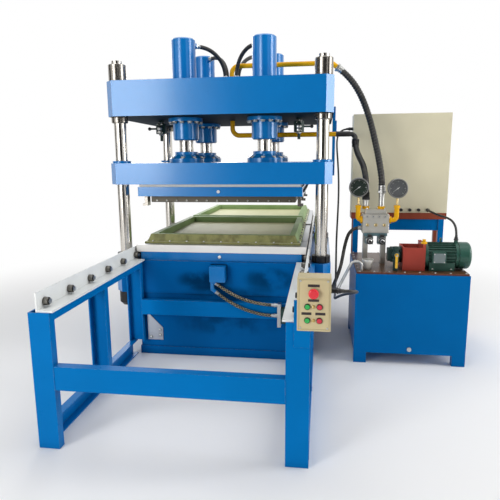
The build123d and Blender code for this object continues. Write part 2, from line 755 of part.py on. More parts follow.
# Oil pipes: the pressure pipe rises from the manifold on the crown, the return pipe hangs under it
pressure_z = crown_top + PRESSURE_PIPE_RISE
with BuildPart() as manifold:
    with Locations((0, 0, crown_top)):
        Box(MANIFOLD_WIDTH, MANIFOLD_WIDTH, MANIFOLD_HEIGHT, align=BASE_UP)
    chamfer(manifold.edges().filter_by(Axis.Z), NUT_BEVEL)

pressure_pipe = pipe(
    [
        (0, 0, crown_top + MANIFOLD_HEIGHT),
        (0, 0, pressure_z),
        (pressure_pipe_end - PRESSURE_PIPE_TAIL, 0, pressure_z),
        (pressure_pipe_end, 0, pressure_z - PRESSURE_PIPE_DROP),
    ],
    PIPE_DIAMETER,
    [PIPE_BEND, PRESSURE_PIPE_TAIL_BEND],
)
return_z = crown_bottom - RETURN_PIPE_DROP
return_pipe = pipe(
    [
        (0, 0, crown_bottom),
        (0, 0, return_z),
        (return_pipe_end, 0, return_z),
        (return_pipe_end, RETURN_PIPE_TAIL[0], return_z + RETURN_PIPE_TAIL[1]),
    ],
    PIPE_DIAMETER,
    [PIPE_BEND, RETURN_PIPE_TAIL_BEND],
)
header_pipes = Compound([manifold.part, pressure_pipe, return_pipe], label="header_pipes")
export_step(header_pipes, "parts/header_pipes.step")

# Cap hoses: four short hoses from the manifold to the cylinder caps
hose_run = port_end - port_start
cap_hose = cord(
    "cap_hose",
    [
        (port_start.X + across * hose_run.X, port_start.Y + across * hose_run.Y, port_start.Z + up * hose_run.Z)
        for across, up in CAP_HOSE_SHARES
    ],
    CAP_HOSE_DIAMETER,
)
with BuildPart() as cap_hoses:
    add(cap_hose)
    mirror(about=Plane.YZ)
    mirror(about=Plane.XZ)
cap_hoses.part.label = "cap_hoses"
export_step(cap_hoses.part, "parts/cap_hoses.step")

# Limit-switch bar on the crown's right end, and the two valve bodies under the crown
bar_left = beam_end + BAR_STANDOFF
bar_y = (BAR_PLACE_Y - BAR_DEPTH / 2, BAR_PLACE_Y + BAR_DEPTH / 2)
bar_top = crown_bottom + BAR_ABOVE
with BuildPart() as limit_bar:
    block((bar_left, bar_left + BAR_WIDTH), bar_y, (crown_bottom - BAR_BELOW, bar_top))
    block((beam_end, bar_left), bar_y, (bar_top - BAR_PAD, bar_top))

with BuildPart() as limit_switch:
    block(
        (bar_left, bar_left + SWITCH_WIDTH),
        (bar_y[1], bar_y[1] + SWITCH_DEPTH),
        (crown_bottom - SWITCH_HEIGHT, crown_bottom),
    )
    chamfer(limit_switch.edges().filter_by(Axis.Z), NUT_BEVEL)

with BuildPart() as crown_valve:
    with Locations((CROWN_VALVE_X, CROWN_VALVE_Y, crown_bottom - CROWN_VALVE_NECK_HEIGHT)):
        Cylinder(CROWN_VALVE_NECK / 2, CROWN_VALVE_NECK_HEIGHT, align=BASE_UP)
    body_low = crown_bottom - CROWN_VALVE_NECK_HEIGHT - CROWN_VALVE_HEIGHT
    with BuildSketch(Plane.XY.offset(body_low)) as body_outline:
        with Locations((CROWN_VALVE_X, CROWN_VALVE_Y)):
            Rectangle(CROWN_VALVE_WIDTH, CROWN_VALVE_WIDTH)
        chamfer(body_outline.vertices(), CROWN_VALVE_WIDTH / 4)
    extrude(amount=CROWN_VALVE_HEIGHT)
    stem_low = body_low - CROWN_VALVE_STEM_HEIGHT
    round_bar(CROWN_VALVE_STEM, (CROWN_VALVE_X, CROWN_VALVE_Y, stem_low), CROWN_VALVE_STEM_HEIGHT)
    round_bar(
        CROWN_VALVE_HANDLE,
        (CROWN_VALVE_X, CROWN_VALVE_Y, body_low + CROWN_VALVE_HEIGHT / 2),
        CROWN_VALVE_HANDLE_REACH,
        ALONG_X,
    )

limit_switches = Compound(
    [limit_bar.part, limit_switch.part, crown_valve.part, crown_valve.part.mirror(Plane.YZ)],
    label="limit_switches",
)
export_step(limit_switches, "parts/limit_switches.step")

# Lower hot plate
with BuildPart() as lower_hot_plate:
    with BuildSketch(Plane.XY.offset(bed_top)):
        Rectangle(2 * hot_plate_half, hot_plate_depth)
    extrude(amount=LOWER_PLATE_HEIGHT)
    chamfer(lower_hot_plate.edges().filter_by(Axis.Z), NUT_BEVEL)
lower_hot_plate.part.label = "lower_hot_plate"
export_step(lower_hot_plate.part, "parts/lower_hot_plate.step")

# Moving platen with its guide bushes
bush_diameter = COLUMN_DIAMETER + 2 * RUN_GAP + 2 * BUSH_WALL
with BuildPart() as platen:
    with BuildSketch(Plane.XY.offset(platen_bottom)) as platen_outline:
        Rectangle(beam_width, beam_depth)
        chamfer(platen_outline.vertices(), BEAM_CORNER)
        with GridLocations(COLUMN_SPAN_X, COLUMN_SPAN_Y, 2, 2):
            Circle(bush_diameter / 2, mode=Mode.SUBTRACT)
    extrude(amount=PLATEN_HEIGHT)

with BuildPart() as bushes:
    with GridLocations(COLUMN_SPAN_X, COLUMN_SPAN_Y, 2, 2):
        round_bar(bush_diameter, (0, 0, platen_bottom), PLATEN_HEIGHT)
        round_bar(bush_diameter + 2 * BUSH_LIP, (0, 0, platen_top), BUSH_LIP_HEIGHT)
        round_bar(
            COLUMN_DIAMETER + 2 * RUN_GAP,
            (0, 0, platen_bottom - OVERRUN),
            PLATEN_HEIGHT + BUSH_LIP_HEIGHT + 2 * OVERRUN,
            mode=Mode.SUBTRACT,
        )

moving_platen = Compound([platen.part, bushes.part], label="moving_platen")
export_step(moving_platen, "parts/moving_platen.step")

# Insulation board, upper hot plate and upper mould, hung under the platen
with BuildPart() as insulation_board:
    with BuildSketch(Plane.XY.offset(board_bottom)):
        Rectangle(2 * (hot_plate_half - BOARD_INSET), hot_plate_depth - 2 * BOARD_INSET)
    extrude(amount=BOARD_HEIGHT)
insulation_board.part.label = "insulation_board"
export_step(insulation_board.part, "parts/insulation_board.step")

with BuildPart() as upper_hot_plate:
    with BuildSketch(Plane.XY.offset(upper_plate_bottom)):
        Rectangle(2 * hot_plate_half, hot_plate_depth)
    extrude(amount=UPPER_PLATE_HEIGHT)
    chamfer(upper_hot_plate.edges().filter_by(Axis.Z), NUT_BEVEL)
upper_hot_plate.part.label = "upper_hot_plate"
export_step(upper_hot_plate.part, "parts/upper_hot_plate.step")

with BuildPart() as mould_plate:
    with BuildSketch(Plane.XY.offset(mould_bottom)):
        Rectangle(2 * (hot_plate_half - MOULD_INSET_X), hot_plate_depth - 2 * MOULD_INSET_Y)
    extrude(amount=MOULD_HEIGHT)
    chamfer(mould_plate.faces().sort_by(Axis.Z)[0].edges(), NUT_BEVEL)

hanger_outer = hot_plate_half - HANGER_JAW
hanger_bottom = upper_plate_bottom - HANGER_HEIGHT
with BuildPart() as hangers:
    with BuildSketch(Plane.XZ.offset(HANGER_LENGTH / 2)) as hanger_outline:
        with Locations((hanger_outer - HANGER_WIDTH / 2, hanger_bottom + HANGER_HEIGHT / 2)):
            Rectangle(HANGER_WIDTH, HANGER_HEIGHT)
        with Locations((hanger_outer + HANGER_JAW / 2, hanger_bottom + HANGER_JAW / 2)):
            Rectangle(HANGER_JAW, HANGER_JAW)
    extrude(amount=-HANGER_LENGTH)
    mirror(about=Plane.YZ)

with BuildPart() as hanger_row:
    with GridLocations(0, HANGER_SPACING, 1, HANGERS):
        add(hangers.part)

upper_mould = Compound([mould_plate.part, hanger_row.part], label="upper_mould")
export_step(upper_mould, "parts/upper_mould.step")

# Piston rods with their pistons, and the bolted flanges that hold them to the platen
piston_bottom = nose_bottom + GLAND_HEIGHT + PISTON_LIFT
with BuildPart() as rods:
    with GridLocations(CYLINDER_SPAN_X, CYLINDER_SPAN_Y, 2, 2):
        round_bar(ROD_DIAMETER, (0, 0, platen_top), piston_bottom - platen_top)
        round_bar(BARREL_BORE - 2 * RUN_GAP, (0, 0, piston_bottom), PISTON_HEIGHT)

with BuildPart() as flange:
    with BuildSketch(Plane.XZ) as flange_half:
        with BuildLine():
            Polyline(
                (ROD_DIAMETER / 2 + FIT_GAP, platen_top),
                (FLANGE_DIAMETER / 2, platen_top),
                (FLANGE_DIAMETER / 2, platen_top + FLANGE_RIM),
                (FLANGE_NECK / 2, flange_top - FLANGE_COLLAR),
                (FLANGE_NECK / 2, flange_top),
                (ROD_DIAMETER / 2 + FIT_GAP, flange_top),
                close=True,
            )
        make_face()
    revolve(axis=Axis.Z)
    with PolarLocations(FLANGE_POCKET_CIRCLE / 2, FLANGE_POCKETS):
        round_bar(FLANGE_POCKET_DIAMETER, (0, 0, platen_top + FLANGE_RIM), FLANGE_HEIGHT, mode=Mode.SUBTRACT)

with BuildPart() as flanges:
    with GridLocations(CYLINDER_SPAN_X, CYLINDER_SPAN_Y, 2, 2):
        add(flange.part)

piston_rods = Compound([rods.part, flanges.part], label="piston_rods")
export_step(piston_rods, "parts/piston_rods.step")

# Carriage: two steel plates end to end, tied by link bars, which run on the rollers
with BuildPart() as front_carriage:
    with BuildSketch(Plane.XY.offset(lower_plate_top)):
        with Locations((0, (carriage_front + carriage_split) / 2)):
            Rectangle(2 * carriage_half, carriage_split - carriage_front)
    extrude(amount=CARRIAGE_HEIGHT)
    chamfer(front_carriage.edges().filter_by(Axis.Z), CARRIAGE_EDGE)

with BuildPart() as rear_carriage:
    with BuildSketch(Plane.XY.offset(lower_plate_top)):
        with Locations((0, (carriage_split + carriage_rear) / 2)):
            Rectangle(2 * carriage_half, carriage_rear - carriage_split)
    extrude(amount=CARRIAGE_HEIGHT)
    chamfer(rear_carriage.edges().filter_by(Axis.Z), CARRIAGE_EDGE)

link_x = carriage_half - LINK_INSET
with BuildPart() as links:
    with Locations((0, carriage_split, carriage_top)):
        with GridLocations(2 * link_x, 0, 2, 1):
            Box(2 * (TRAY_STEP - LINK_INSET), LINK_LENGTH, LINK_HEIGHT, align=BASE_UP)

carriage = Compound([front_carriage.part, rear_carriage.part, links.part], label="carriage")
export_step(carriage, "parts/carriage.step")

# Mould trays: a flanged base, walls with draft, and a shallow pocket
tray_centre = tray_front + TRAY_LENGTH / 2
frame_width = 2 * (tray_half - TRAY_FLANGE_LIP)
frame_length = TRAY_LENGTH - 2 * TRAY_FLANGE_LIP
with BuildPart() as tray:
    with BuildSketch(Plane.XY.offset(carriage_top)):
        with Locations((0, tray_centre)):
            Rectangle(2 * tray_half, TRAY_LENGTH)
    extrude(amount=TRAY_FLANGE_HEIGHT)
    with BuildSketch(Plane.XY.offset(carriage_top + TRAY_FLANGE_HEIGHT)):
        with Locations((0, tray_centre)):
            Rectangle(frame_width, frame_length)
    extrude(amount=TRAY_HEIGHT - TRAY_FLANGE_HEIGHT, taper=TRAY_DRAFT)
    rim = tray.faces().sort_by(Axis.Z)[-1].bounding_box().size
    with BuildSketch(Plane.XY.offset(tray_top)):
        with Locations((0, tray_centre)):
            RectangleRounded(rim.X - 2 * TRAY_WALL, rim.Y - 2 * TRAY_WALL, TRAY_POCKET_CORNER)
    extrude(amount=TRAY_FLOOR - TRAY_HEIGHT, taper=TRAY_POCKET_DRAFT, mode=Mode.SUBTRACT)

with BuildPart() as mould_trays:
    add(tray.part)
    with Locations((0, tray_pitch, 0)):
        add(tray.part)
mould_trays.part.label = "mould_trays"
export_step(mould_trays.part, "parts/mould_trays.step")

# Shuttle cylinder in the lower beam's tunnel: square caps, round barrel, tie rods and two front ports
cap_front = beam_front - SHUTTLE_CAP_REACH
cap_rear = -beam_front - SHUTTLE_REAR_INSET
port_y = cap_front + PORT_INSET
with BuildPart() as shuttle_cylinder:
    with Locations((0, 0, shuttle_z)):
        round_bar(SHUTTLE_BARREL, (0, cap_front, 0), cap_rear - cap_front, ALONG_Y)
        with GridLocations(SHUTTLE_TIE_SPAN, 0, 2, 1):
            for side in (-1, 1):
                tie_start = (0, cap_front, side * SHUTTLE_TIE_SPAN / 2)
                round_bar(SHUTTLE_TIE_ROD, tie_start, cap_rear - cap_front, ALONG_Y)
        for low in (cap_front, cap_rear - SHUTTLE_CAP_LENGTH):
            with Locations((0, low + SHUTTLE_CAP_LENGTH / 2, 0)):
                Box(SHUTTLE_CAP, SHUTTLE_CAP_LENGTH, SHUTTLE_CAP)
        bore_length = cap_rear - cap_front - 2 * SHUTTLE_END_WALL
        round_bar(SHUTTLE_BORE, (0, cap_front + SHUTTLE_END_WALL, 0), bore_length, ALONG_Y, mode=Mode.SUBTRACT)
        rod_hole = (0, cap_rear - SHUTTLE_END_WALL - OVERRUN, 0)
        hole_length = SHUTTLE_END_WALL + 2 * OVERRUN
        round_bar(SHUTTLE_ROD + 2 * RUN_GAP, rod_hole, hole_length, ALONG_Y, mode=Mode.SUBTRACT)
    cap_bottom = shuttle_z - SHUTTLE_CAP / 2
    low_port_z = cap_bottom - PORT_LOW_DROP
    round_bar(PORT_DIAMETER, (PORT_X, port_y, low_port_z), PORT_LOW_DROP)
    for height in (low_port_z, low_port_z + PORT_SPACING):
        with Locations((PORT_X, port_y, height)):
            Sphere(PORT_DIAMETER / 2)
        with BuildSketch(Plane((PORT_X, port_y, height), z_dir=PORT_WAY_SHARES)):
            Circle(PORT_DIAMETER / 2)
        extrude(amount=PORT_ARM)
shuttle_cylinder.part.label = "shuttle_cylinder"
export_step(shuttle_cylinder.part, "parts/shuttle_cylinder.step")

# Shuttle rod with its piston, and the drag bracket that pulls the rear carriage
stroke_end = -beam_front + DRAG_LIMIT_GAP
drag_front = stroke_end + tray_pitch
with BuildPart() as rod:
    piston_front = cap_front + SHUTTLE_END_WALL + tray_pitch
    with Locations((0, 0, shuttle_z)):
        round_bar(SHUTTLE_BORE - 2 * RUN_GAP, (0, piston_front, 0), SHUTTLE_PISTON, ALONG_Y)
        round_bar(SHUTTLE_ROD, (0, piston_front, 0), drag_front - piston_front, ALONG_Y)

with BuildPart() as drag_bracket:
    block(
        (-DRAG_WIDTH / 2, DRAG_WIDTH / 2),
        (drag_front, drag_front + DRAG_THICKNESS),
        (shuttle_z - DRAG_BELOW, lower_plate_top),
    )
    chamfer(drag_bracket.edges().filter_by(Axis.Y).sort_by(Axis.Z)[:2], DRAG_BELOW / 2)

shuttle_rod = Compound([rod.part, drag_bracket.part], label="shuttle_rod")
export_step(shuttle_rod, "parts/shuttle_rod.step")

# Tables of rolled channel: legs, posts, top beams, stringers and cross bars, left then right
table_inner = table_half - CHANNEL
leg_back = table_front + CHANNEL_FLANGE
beam_length = table_near - leg_back
mid_post_y = table_near - MID_POST_SHARE * TABLE_LENGTH
post_height = bed_top - CHANNEL_FLANGE - CHANNEL
left_members = [channel((-table_half, table_front, 0), RIGHT, UP, CHANNEL, CHANNEL_FLANGE, bed_top)]
left_members.append(
    channel((-table_half, leg_back, bed_top), RIGHT, BACK, CHANNEL, CHANNEL_FLANGE, beam_length)
)
left_members.append(channel((-table_half, leg_back, 0), UP, BACK, CHANNEL, CHANNEL_FLANGE, beam_length))
for post_back in (mid_post_y, table_near):
    left_members.append(
        channel((-table_inner, post_back, CHANNEL), LEFT, UP, CHANNEL, CHANNEL_FLANGE, post_height)
    )
right_members = [member.mirror(Plane.YZ) for member in left_members]
front_bar = (-table_inner, table_front, CROSS_BAR_TOP)
rear_bar = (-table_inner, table_near - CHANNEL_FLANGE, REAR_BAR_TOP)
cross_bars = [
    channel(front_bar, DOWN, RIGHT, CROSS_CHANNEL, CROSS_FLANGE, 2 * table_inner),
    channel(rear_bar, DOWN, RIGHT, CHANNEL, CHANNEL_FLANGE, 2 * table_inner),
]
front_table = Compound(left_members + right_members + cross_bars, label="front_table")
export_step(front_table, "parts/front_table.step")

rear_table = front_table.mirror(Plane.XZ)
rear_table.label = "rear_table"
export_step(rear_table, "parts/rear_table.step")

# Angle rails: they stand on the tables, and only the upright leg runs on past the hot plate
roller_z = lower_plate_top - ROLLER_GAP - ROLLER_DIAMETER / 2
roller_places = [table_front + ROLLER_FIRST + step * ROLLER_PITCH for step in range(ROLLERS)]
rail_length = -2 * (table_front + RAIL_END_INSET)
stud_hole = STUD_DIAMETER + 2 * FIT_GAP
with BuildPart() as roller_rails:
    with BuildSketch(Plane.XZ.offset(rail_length / 2)) as rail_section:
        with Locations((rail_outer, bed_top)):
            Rectangle(RAIL_THICKNESS, RAIL_HEIGHT, align=(Align.MAX, Align.MIN))
            Rectangle(RAIL_FOOT, RAIL_THICKNESS, align=(Align.MAX, Align.MIN))
    extrude(amount=-rail_length)
    block(
        (rail_outer - RAIL_FOOT - OVERRUN, rail_inner),
        (table_near, -table_near),
        (bed_top - OVERRUN, bed_top + RAIL_HEIGHT),
        mode=Mode.SUBTRACT,
    )
    for place in roller_places:
        for y in (place, -place):
            hole_start = (rail_inner - OVERRUN, y, roller_z)
            round_bar(stud_hole, hole_start, RAIL_THICKNESS + 2 * OVERRUN, ALONG_X, mode=Mode.SUBTRACT)
    mirror(about=Plane.YZ)
roller_rails.part.label = "roller_rails"
export_step(roller_rails.part, "parts/roller_rails.step")

# Rollers on studs: each stud has a head inside the roller and a nut outside the rail
roller_far = rail_inner - SIDE_GAP
roller_near = roller_far - ROLLER_WIDTH
stud_head = roller_near - SIDE_GAP
with BuildPart() as stud:
    round_bar(STUD_DIAMETER, (stud_head, 0, roller_z), rail_outer + STUD_NUT_HEIGHT - stud_head, ALONG_X)
    round_bar(STUD_HEAD_DIAMETER, (stud_head - STUD_HEAD_HEIGHT, 0, roller_z), STUD_HEAD_HEIGHT, ALONG_X)
    with BuildSketch(Plane.YZ.offset(rail_outer)):
        with Locations((0, roller_z)):
            RegularPolygon(STUD_NUT_SIZE / 2, 6, major_radius=False)
    extrude(amount=STUD_NUT_HEIGHT)
    mirror(about=Plane.YZ)

with BuildPart() as roller:
    round_bar(ROLLER_DIAMETER, (roller_near, 0, roller_z), ROLLER_WIDTH, ALONG_X)
    chamfer(roller.edges().filter_by(GeomType.CIRCLE), ROLLER_BEVEL)
    round_bar(STUD_DIAMETER + 2 * RUN_GAP, (roller_near, 0, roller_z), ROLLER_WIDTH, ALONG_X, mode=Mode.SUBTRACT)
    mirror(about=Plane.YZ)

with BuildPart() as roller_studs:
    for place in roller_places:
        with Locations((0, place, 0)):
            add(stud.part)
roller_studs.part.label = "roller_studs"
export_step(roller_studs.part, "parts/roller_studs.step")

rear_rollers = Compound(
    [piece.part.moved(Location((0, -place, 0))) for place in roller_places for piece in (stud, roller)],
    label="rear_rollers",
)
export_step(rear_rollers, "parts/rear_rollers.step")

for number, place in enumerate(roller_places, 1):
    roller_pair = roller.part.moved(Location((0, place, 0)))
    roller_pair.label = f"roller_pair_{number}"
    export_step(roller_pair, f"parts/roller_pair_{number}.step")

# Shuttle valve: a bright plate on the rear cross bar with the valve body beside it
valve_back = table_near - CHANNEL_FLANGE
with BuildPart() as valve_plate:
    plate_x = (VALVE_PLATE_X, VALVE_PLATE_X + VALVE_PLATE_WIDTH)
    block(plate_x, (valve_back - VALVE_PLATE_DEPTH, valve_back), (VALVE_PLATE_BOTTOM, VALVE_PLATE_TOP))
    for height in (VALVE_HOSE_TOP, VALVE_HOSE_LOW):
        start = (VALVE_PLATE_X - VALVE_FITTING_LENGTH, valve_back - VALVE_HOSE_REACH, height)
        round_bar(VALVE_FITTING, start, VALVE_FITTING_LENGTH, ALONG_X)

with BuildPart() as valve_body:
    body_x = (plate_x[1], plate_x[1] + VALVE_BODY_WIDTH)
    block(body_x, (valve_back - VALVE_BODY_DEPTH, valve_back), (VALVE_BODY_BOTTOM, VALVE_BODY_TOP))
    chamfer(valve_body.edges().filter_by(Axis.Z), NUT_BEVEL)
    feed_port = (body_x[1], valve_back - VALVE_FEED_REACH, VALVE_FEED_Z)
    round_bar(VALVE_FITTING, feed_port, VALVE_FITTING_LENGTH, ALONG_X)

shuttle_valve = Compound([valve_plate.part, valve_body.part], label="shuttle_valve")
export_step(shuttle_valve, "parts/shuttle_valve.step")

# Control box on a bracket at the table's right front leg
box_back = table_front - BOX_STANDOFF
box_front = box_back - BOX_DEPTH
box_x = (BOX_LEFT, BOX_LEFT + BOX_WIDTH)
box_z = (bed_top, bed_top + BOX_HEIGHT)
stop_x = BOX_LEFT + STOP_X_SHARE * BOX_WIDTH
stop_z = bed_top + STOP_Z_SHARE * BOX_HEIGHT
button_places = [
    (BOX_LEFT + x * BOX_WIDTH, bed_top + z * BOX_HEIGHT) for z in BUTTON_Z_SHARES for x in BUTTON_X_SHARES
]
gland_z = bed_top + BOX_GLAND_Z_SHARE * BOX_HEIGHT
with BuildPart() as box_shell:
    block(box_x, (box_front, box_back), box_z)
    fillet(box_shell.edges().filter_by(Axis.Y), BOX_CORNER)
    block(
        (box_x[0] + BOX_WALL, box_x[1] - BOX_WALL),
        (box_front + BOX_WALL, box_back - BOX_WALL),
        (box_z[0] + BOX_WALL, box_z[1] - BOX_WALL),
        mode=Mode.SUBTRACT,
    )
    for x, z, stem in [(stop_x, stop_z, STOP_STEM)] + [(x, z, BUTTON_CAP) for x, z in button_places]:
        hole_start = (x, box_front - OVERRUN, z)
        round_bar(stem + 2 * RUN_GAP, hole_start, BOX_WALL + 2 * OVERRUN, ALONG_Y, mode=Mode.SUBTRACT)
    round_bar(BOX_GLAND, (box_x[1], box_back - BOX_DEPTH / 2, gland_z), BOX_GLAND_LENGTH, ALONG_X)

with BuildPart() as button_rings:
    for x, z, ring, stem in [(stop_x, stop_z, STOP_RING, STOP_STEM)] + [
        (x, z, BUTTON_RING, BUTTON_CAP) for x, z in button_places
    ]:
        round_bar(ring, (x, box_front - RING_HEIGHT, z), RING_HEIGHT, ALONG_Y)
        round_bar(stem + 2 * RUN_GAP, (x, box_front - RING_HEIGHT, z), RING_HEIGHT, ALONG_Y, mode=Mode.SUBTRACT)

with BuildPart() as box_bracket:
    bracket_x = (table_half - BOX_BRACKET_WIDTH, table_half)
    block(bracket_x, (box_back, table_front), (bed_top - BOX_BRACKET_DROP, bed_top + BOX_BRACKET_RISE))

control_box = Compound([box_shell.part, button_rings.part, box_bracket.part], label="control_box")
export_step(control_box, "parts/control_box.step")

# Emergency stop and push buttons, which slide in the box's front wall
with BuildPart() as estop_button:
    head_back = box_front - RING_HEIGHT - STOP_TRAVEL - SIDE_GAP
    round_bar(STOP_HEAD, (stop_x, head_back - STOP_HEAD_HEIGHT, stop_z), STOP_HEAD_HEIGHT, ALONG_Y)
    fillet(estop_button.edges().filter_by(GeomType.CIRCLE).sort_by(Axis.Y)[0], STOP_HEAD_HEIGHT / 2)
    round_bar(STOP_STEM, (stop_x, head_back, stop_z), BUTTON_STEM_LENGTH, ALONG_Y)
estop_button.part.label = "estop_button"
export_step(estop_button.part, "parts/estop_button.step")

button_names = ("green_button_upper", "red_button_upper", "green_button_lower", "red_button_lower")
for button_name, (x, z) in zip(button_names, button_places):
    with BuildPart() as push_button:
        round_bar(BUTTON_CAP, (x, box_front - BUTTON_STAND, z), BUTTON_STEM_LENGTH, ALONG_Y)
        chamfer(push_button.edges().filter_by(GeomType.CIRCLE).sort_by(Axis.Y)[0], ROLLER_BEVEL / 2)
    push_button.part.label = button_name
    export_step(push_button.part, f"parts/{button_name}.step")

# Oil tank on four feet, and its lid
tank_x = (tank_left, tank_left + TANK_WIDTH)
tank_y = (TANK_FRONT, TANK_FRONT + TANK_DEPTH)
lid_top = TANK_HEIGHT + LID_THICKNESS
with BuildPart() as tank_body:
    block(tank_x, tank_y, (TANK_FOOT_HEIGHT, TANK_HEIGHT))
    block(
        (tank_x[0] + TANK_WALL, tank_x[1] - TANK_WALL),
        (tank_y[0] + TANK_WALL, tank_y[1] - TANK_WALL),
        (TANK_FOOT_HEIGHT + TANK_WALL, TANK_HEIGHT - TANK_WALL),
        mode=Mode.SUBTRACT,
    )
    block(
        (tank_x[0] + TANK_RIM, tank_x[1] - TANK_RIM),
        (tank_y[0] + TANK_RIM, tank_y[1] - TANK_RIM),
        (TANK_HEIGHT - TANK_WALL - OVERRUN, TANK_HEIGHT + OVERRUN),
        mode=Mode.SUBTRACT,
    )

with BuildPart() as tank_feet:
    with Locations((sum(tank_x) / 2, sum(tank_y) / 2, 0)):
        with GridLocations(TANK_WIDTH - TANK_FOOT_WIDTH, TANK_DEPTH - TANK_FOOT_DEPTH, 2, 2):
            Box(TANK_FOOT_WIDTH, TANK_FOOT_DEPTH, TANK_FOOT_HEIGHT, align=BASE_UP)

with BuildPart() as drain_plug:
    drain_z = TANK_FOOT_HEIGHT + DRAIN_LIFT
    round_bar(DRAIN_DIAMETER, (sum(tank_x) / 2, tank_y[0] - DRAIN_LENGTH, drain_z), DRAIN_LENGTH, ALONG_Y)

oil_tank = Compound([tank_body.part, tank_feet.part, drain_plug.part], label="oil_tank")
export_step(oil_tank, "parts/oil_tank.step")

with BuildPart() as lid_plate:
    block(
        (tank_x[0] + LID_INSET, tank_x[1] - LID_INSET),
        (tank_y[0] + LID_INSET, tank_y[1] - LID_INSET),
        (TANK_HEIGHT, lid_top),
    )

with BuildPart() as breather:
    with BuildSketch(Plane.XZ) as breather_half:
        with BuildLine():
            Polyline(
                (0, 0),
                (BREATHER_FOOT / 2, 0),
                (BREATHER_TOP / 2, BREATHER_HEIGHT - BREATHER_RIM),
                (BREATHER_TOP / 2, BREATHER_HEIGHT),
                (BREATHER_TOP / 2 - BREATHER_WALL, BREATHER_HEIGHT),
                (BREATHER_TOP / 2 - BREATHER_WALL, BREATHER_HEIGHT - BREATHER_RIM),
                (0, BREATHER_HEIGHT - BREATHER_RIM),
                close=True,
            )
        make_face()
    revolve(axis=Axis.Z)

tank_lid = Compound(
    [lid_plate.part, breather.part.moved(Location((tank_left + BREATHER_INSET, BREATHER_Y, lid_top)))], label="tank_lid"
)
export_step(tank_lid, "parts/tank_lid.step")

# Electric motor: finned frame with smooth end shields, terminal box, feet and fan cover
motor_z = lid_top + MOTOR_AXIS_LIFT
motor_right = motor_left + MOTOR_LENGTH
motor_centre = (MOTOR_AXIS_Y, motor_z)
motor_middle = motor_left + MOTOR_LENGTH / 2
terminal_front = MOTOR_AXIS_Y - SHIELD_DIAMETER / 2 - TERMINAL_DEPTH
with BuildPart() as terminal_box:
    block(
        (motor_left + TERMINAL_INSET, motor_left + TERMINAL_INSET + TERMINAL_WIDTH),
        (terminal_front, MOTOR_AXIS_Y - MOTOR_DIAMETER / 4),
        (motor_z - TERMINAL_HEIGHT / 2, motor_z + TERMINAL_HEIGHT / 2),
    )
    fillet(terminal_box.edges().filter_by(Axis.Y), TERMINAL_CORNER)

with BuildPart() as motor_frame:
    with BuildSketch(Plane.YZ.offset(motor_left + MOTOR_END)) as fins:
        with Locations(motor_centre):
            Circle(MOTOR_DIAMETER / 2)
            with PolarLocations(MOTOR_DIAMETER / 2, MOTOR_FINS):
                Rectangle(2 * FIN_HEIGHT, FIN_WIDTH)
    extrude(amount=MOTOR_LENGTH - 2 * MOTOR_END)
    for left in (motor_left, motor_right - MOTOR_END):
        round_bar(SHIELD_DIAMETER, (left, *motor_centre), MOTOR_END, ALONG_X)
    for side in (-1, 1):
        foot_y = MOTOR_AXIS_Y + side * MOTOR_FOOT_SPAN / 2
        block(
            (motor_middle - MOTOR_FOOT_LENGTH / 2, motor_middle + MOTOR_FOOT_LENGTH / 2),
            (foot_y - MOTOR_FOOT_WIDTH / 2, foot_y + MOTOR_FOOT_WIDTH / 2),
            (lid_top, motor_z - MOTOR_DIAMETER / 4),
        )
    add(terminal_box.part)
    gland_foot = (motor_right - MOTOR_GLAND_INSET, MOTOR_AXIS_Y, motor_z)
    round_bar(MOTOR_GLAND, gland_foot, SHIELD_DIAMETER / 2 + MOTOR_GLAND_HEIGHT)
    bore_left = (motor_left - OVERRUN, *motor_centre)
    shaft_bore = SHAFT_DIAMETER + 2 * RUN_GAP
    round_bar(shaft_bore, bore_left, MOTOR_LENGTH + 2 * OVERRUN, ALONG_X, mode=Mode.SUBTRACT)

cover_right = motor_right + FAN_COVER_LENGTH
with BuildPart() as fan_cover:
    round_bar(FAN_COVER_DIAMETER, (motor_right, *motor_centre), FAN_COVER_LENGTH, ALONG_X)
    fillet(fan_cover.edges().filter_by(GeomType.CIRCLE).sort_by(Axis.X)[-1], FAN_COVER_ROUND)
    offset(amount=-FAN_COVER_WALL, openings=fan_cover.faces().sort_by(Axis.X)[0])
    with BuildSketch(Plane.YZ.offset(cover_right + OVERRUN)) as grille:
        with Locations(motor_centre):
            with PolarLocations((GRILLE_INNER + GRILLE_OUTER) / 4, GRILLE_SLOTS):
                Rectangle((GRILLE_OUTER - GRILLE_INNER) / 2, GRILLE_SLOT)
    extrude(amount=-FAN_COVER_WALL - 2 * OVERRUN, mode=Mode.SUBTRACT)

electric_motor = Compound([motor_frame.part, fan_cover.part], label="electric_motor")
export_step(electric_motor, "parts/electric_motor.step")

# Rotor: shaft, coupling in the pump bracket and fan in its cover
bracket_right = motor_left
coupling_right = bracket_right - BRACKET_PLATE - SIDE_GAP
fan_left = motor_right + FAN_COVER_LENGTH / 3
with BuildPart() as motor_rotor:
    shaft_left = coupling_right - COUPLING_LENGTH
    round_bar(SHAFT_DIAMETER, (shaft_left, *motor_centre), fan_left + FAN_LENGTH - shaft_left, ALONG_X)
    round_bar(COUPLING_DIAMETER, (shaft_left, *motor_centre), COUPLING_LENGTH, ALONG_X)
    with BuildSketch(Plane.YZ.offset(fan_left)) as fan:
        with Locations(motor_centre):
            Circle(FAN_HUB / 2)
            with PolarLocations(FAN_DIAMETER / 4, FAN_BLADES):
                Rectangle(FAN_DIAMETER / 2, FAN_BLADE)
    extrude(amount=FAN_LENGTH)
motor_rotor.part.label = "motor_rotor"
export_step(motor_rotor.part, "parts/motor_rotor.step")

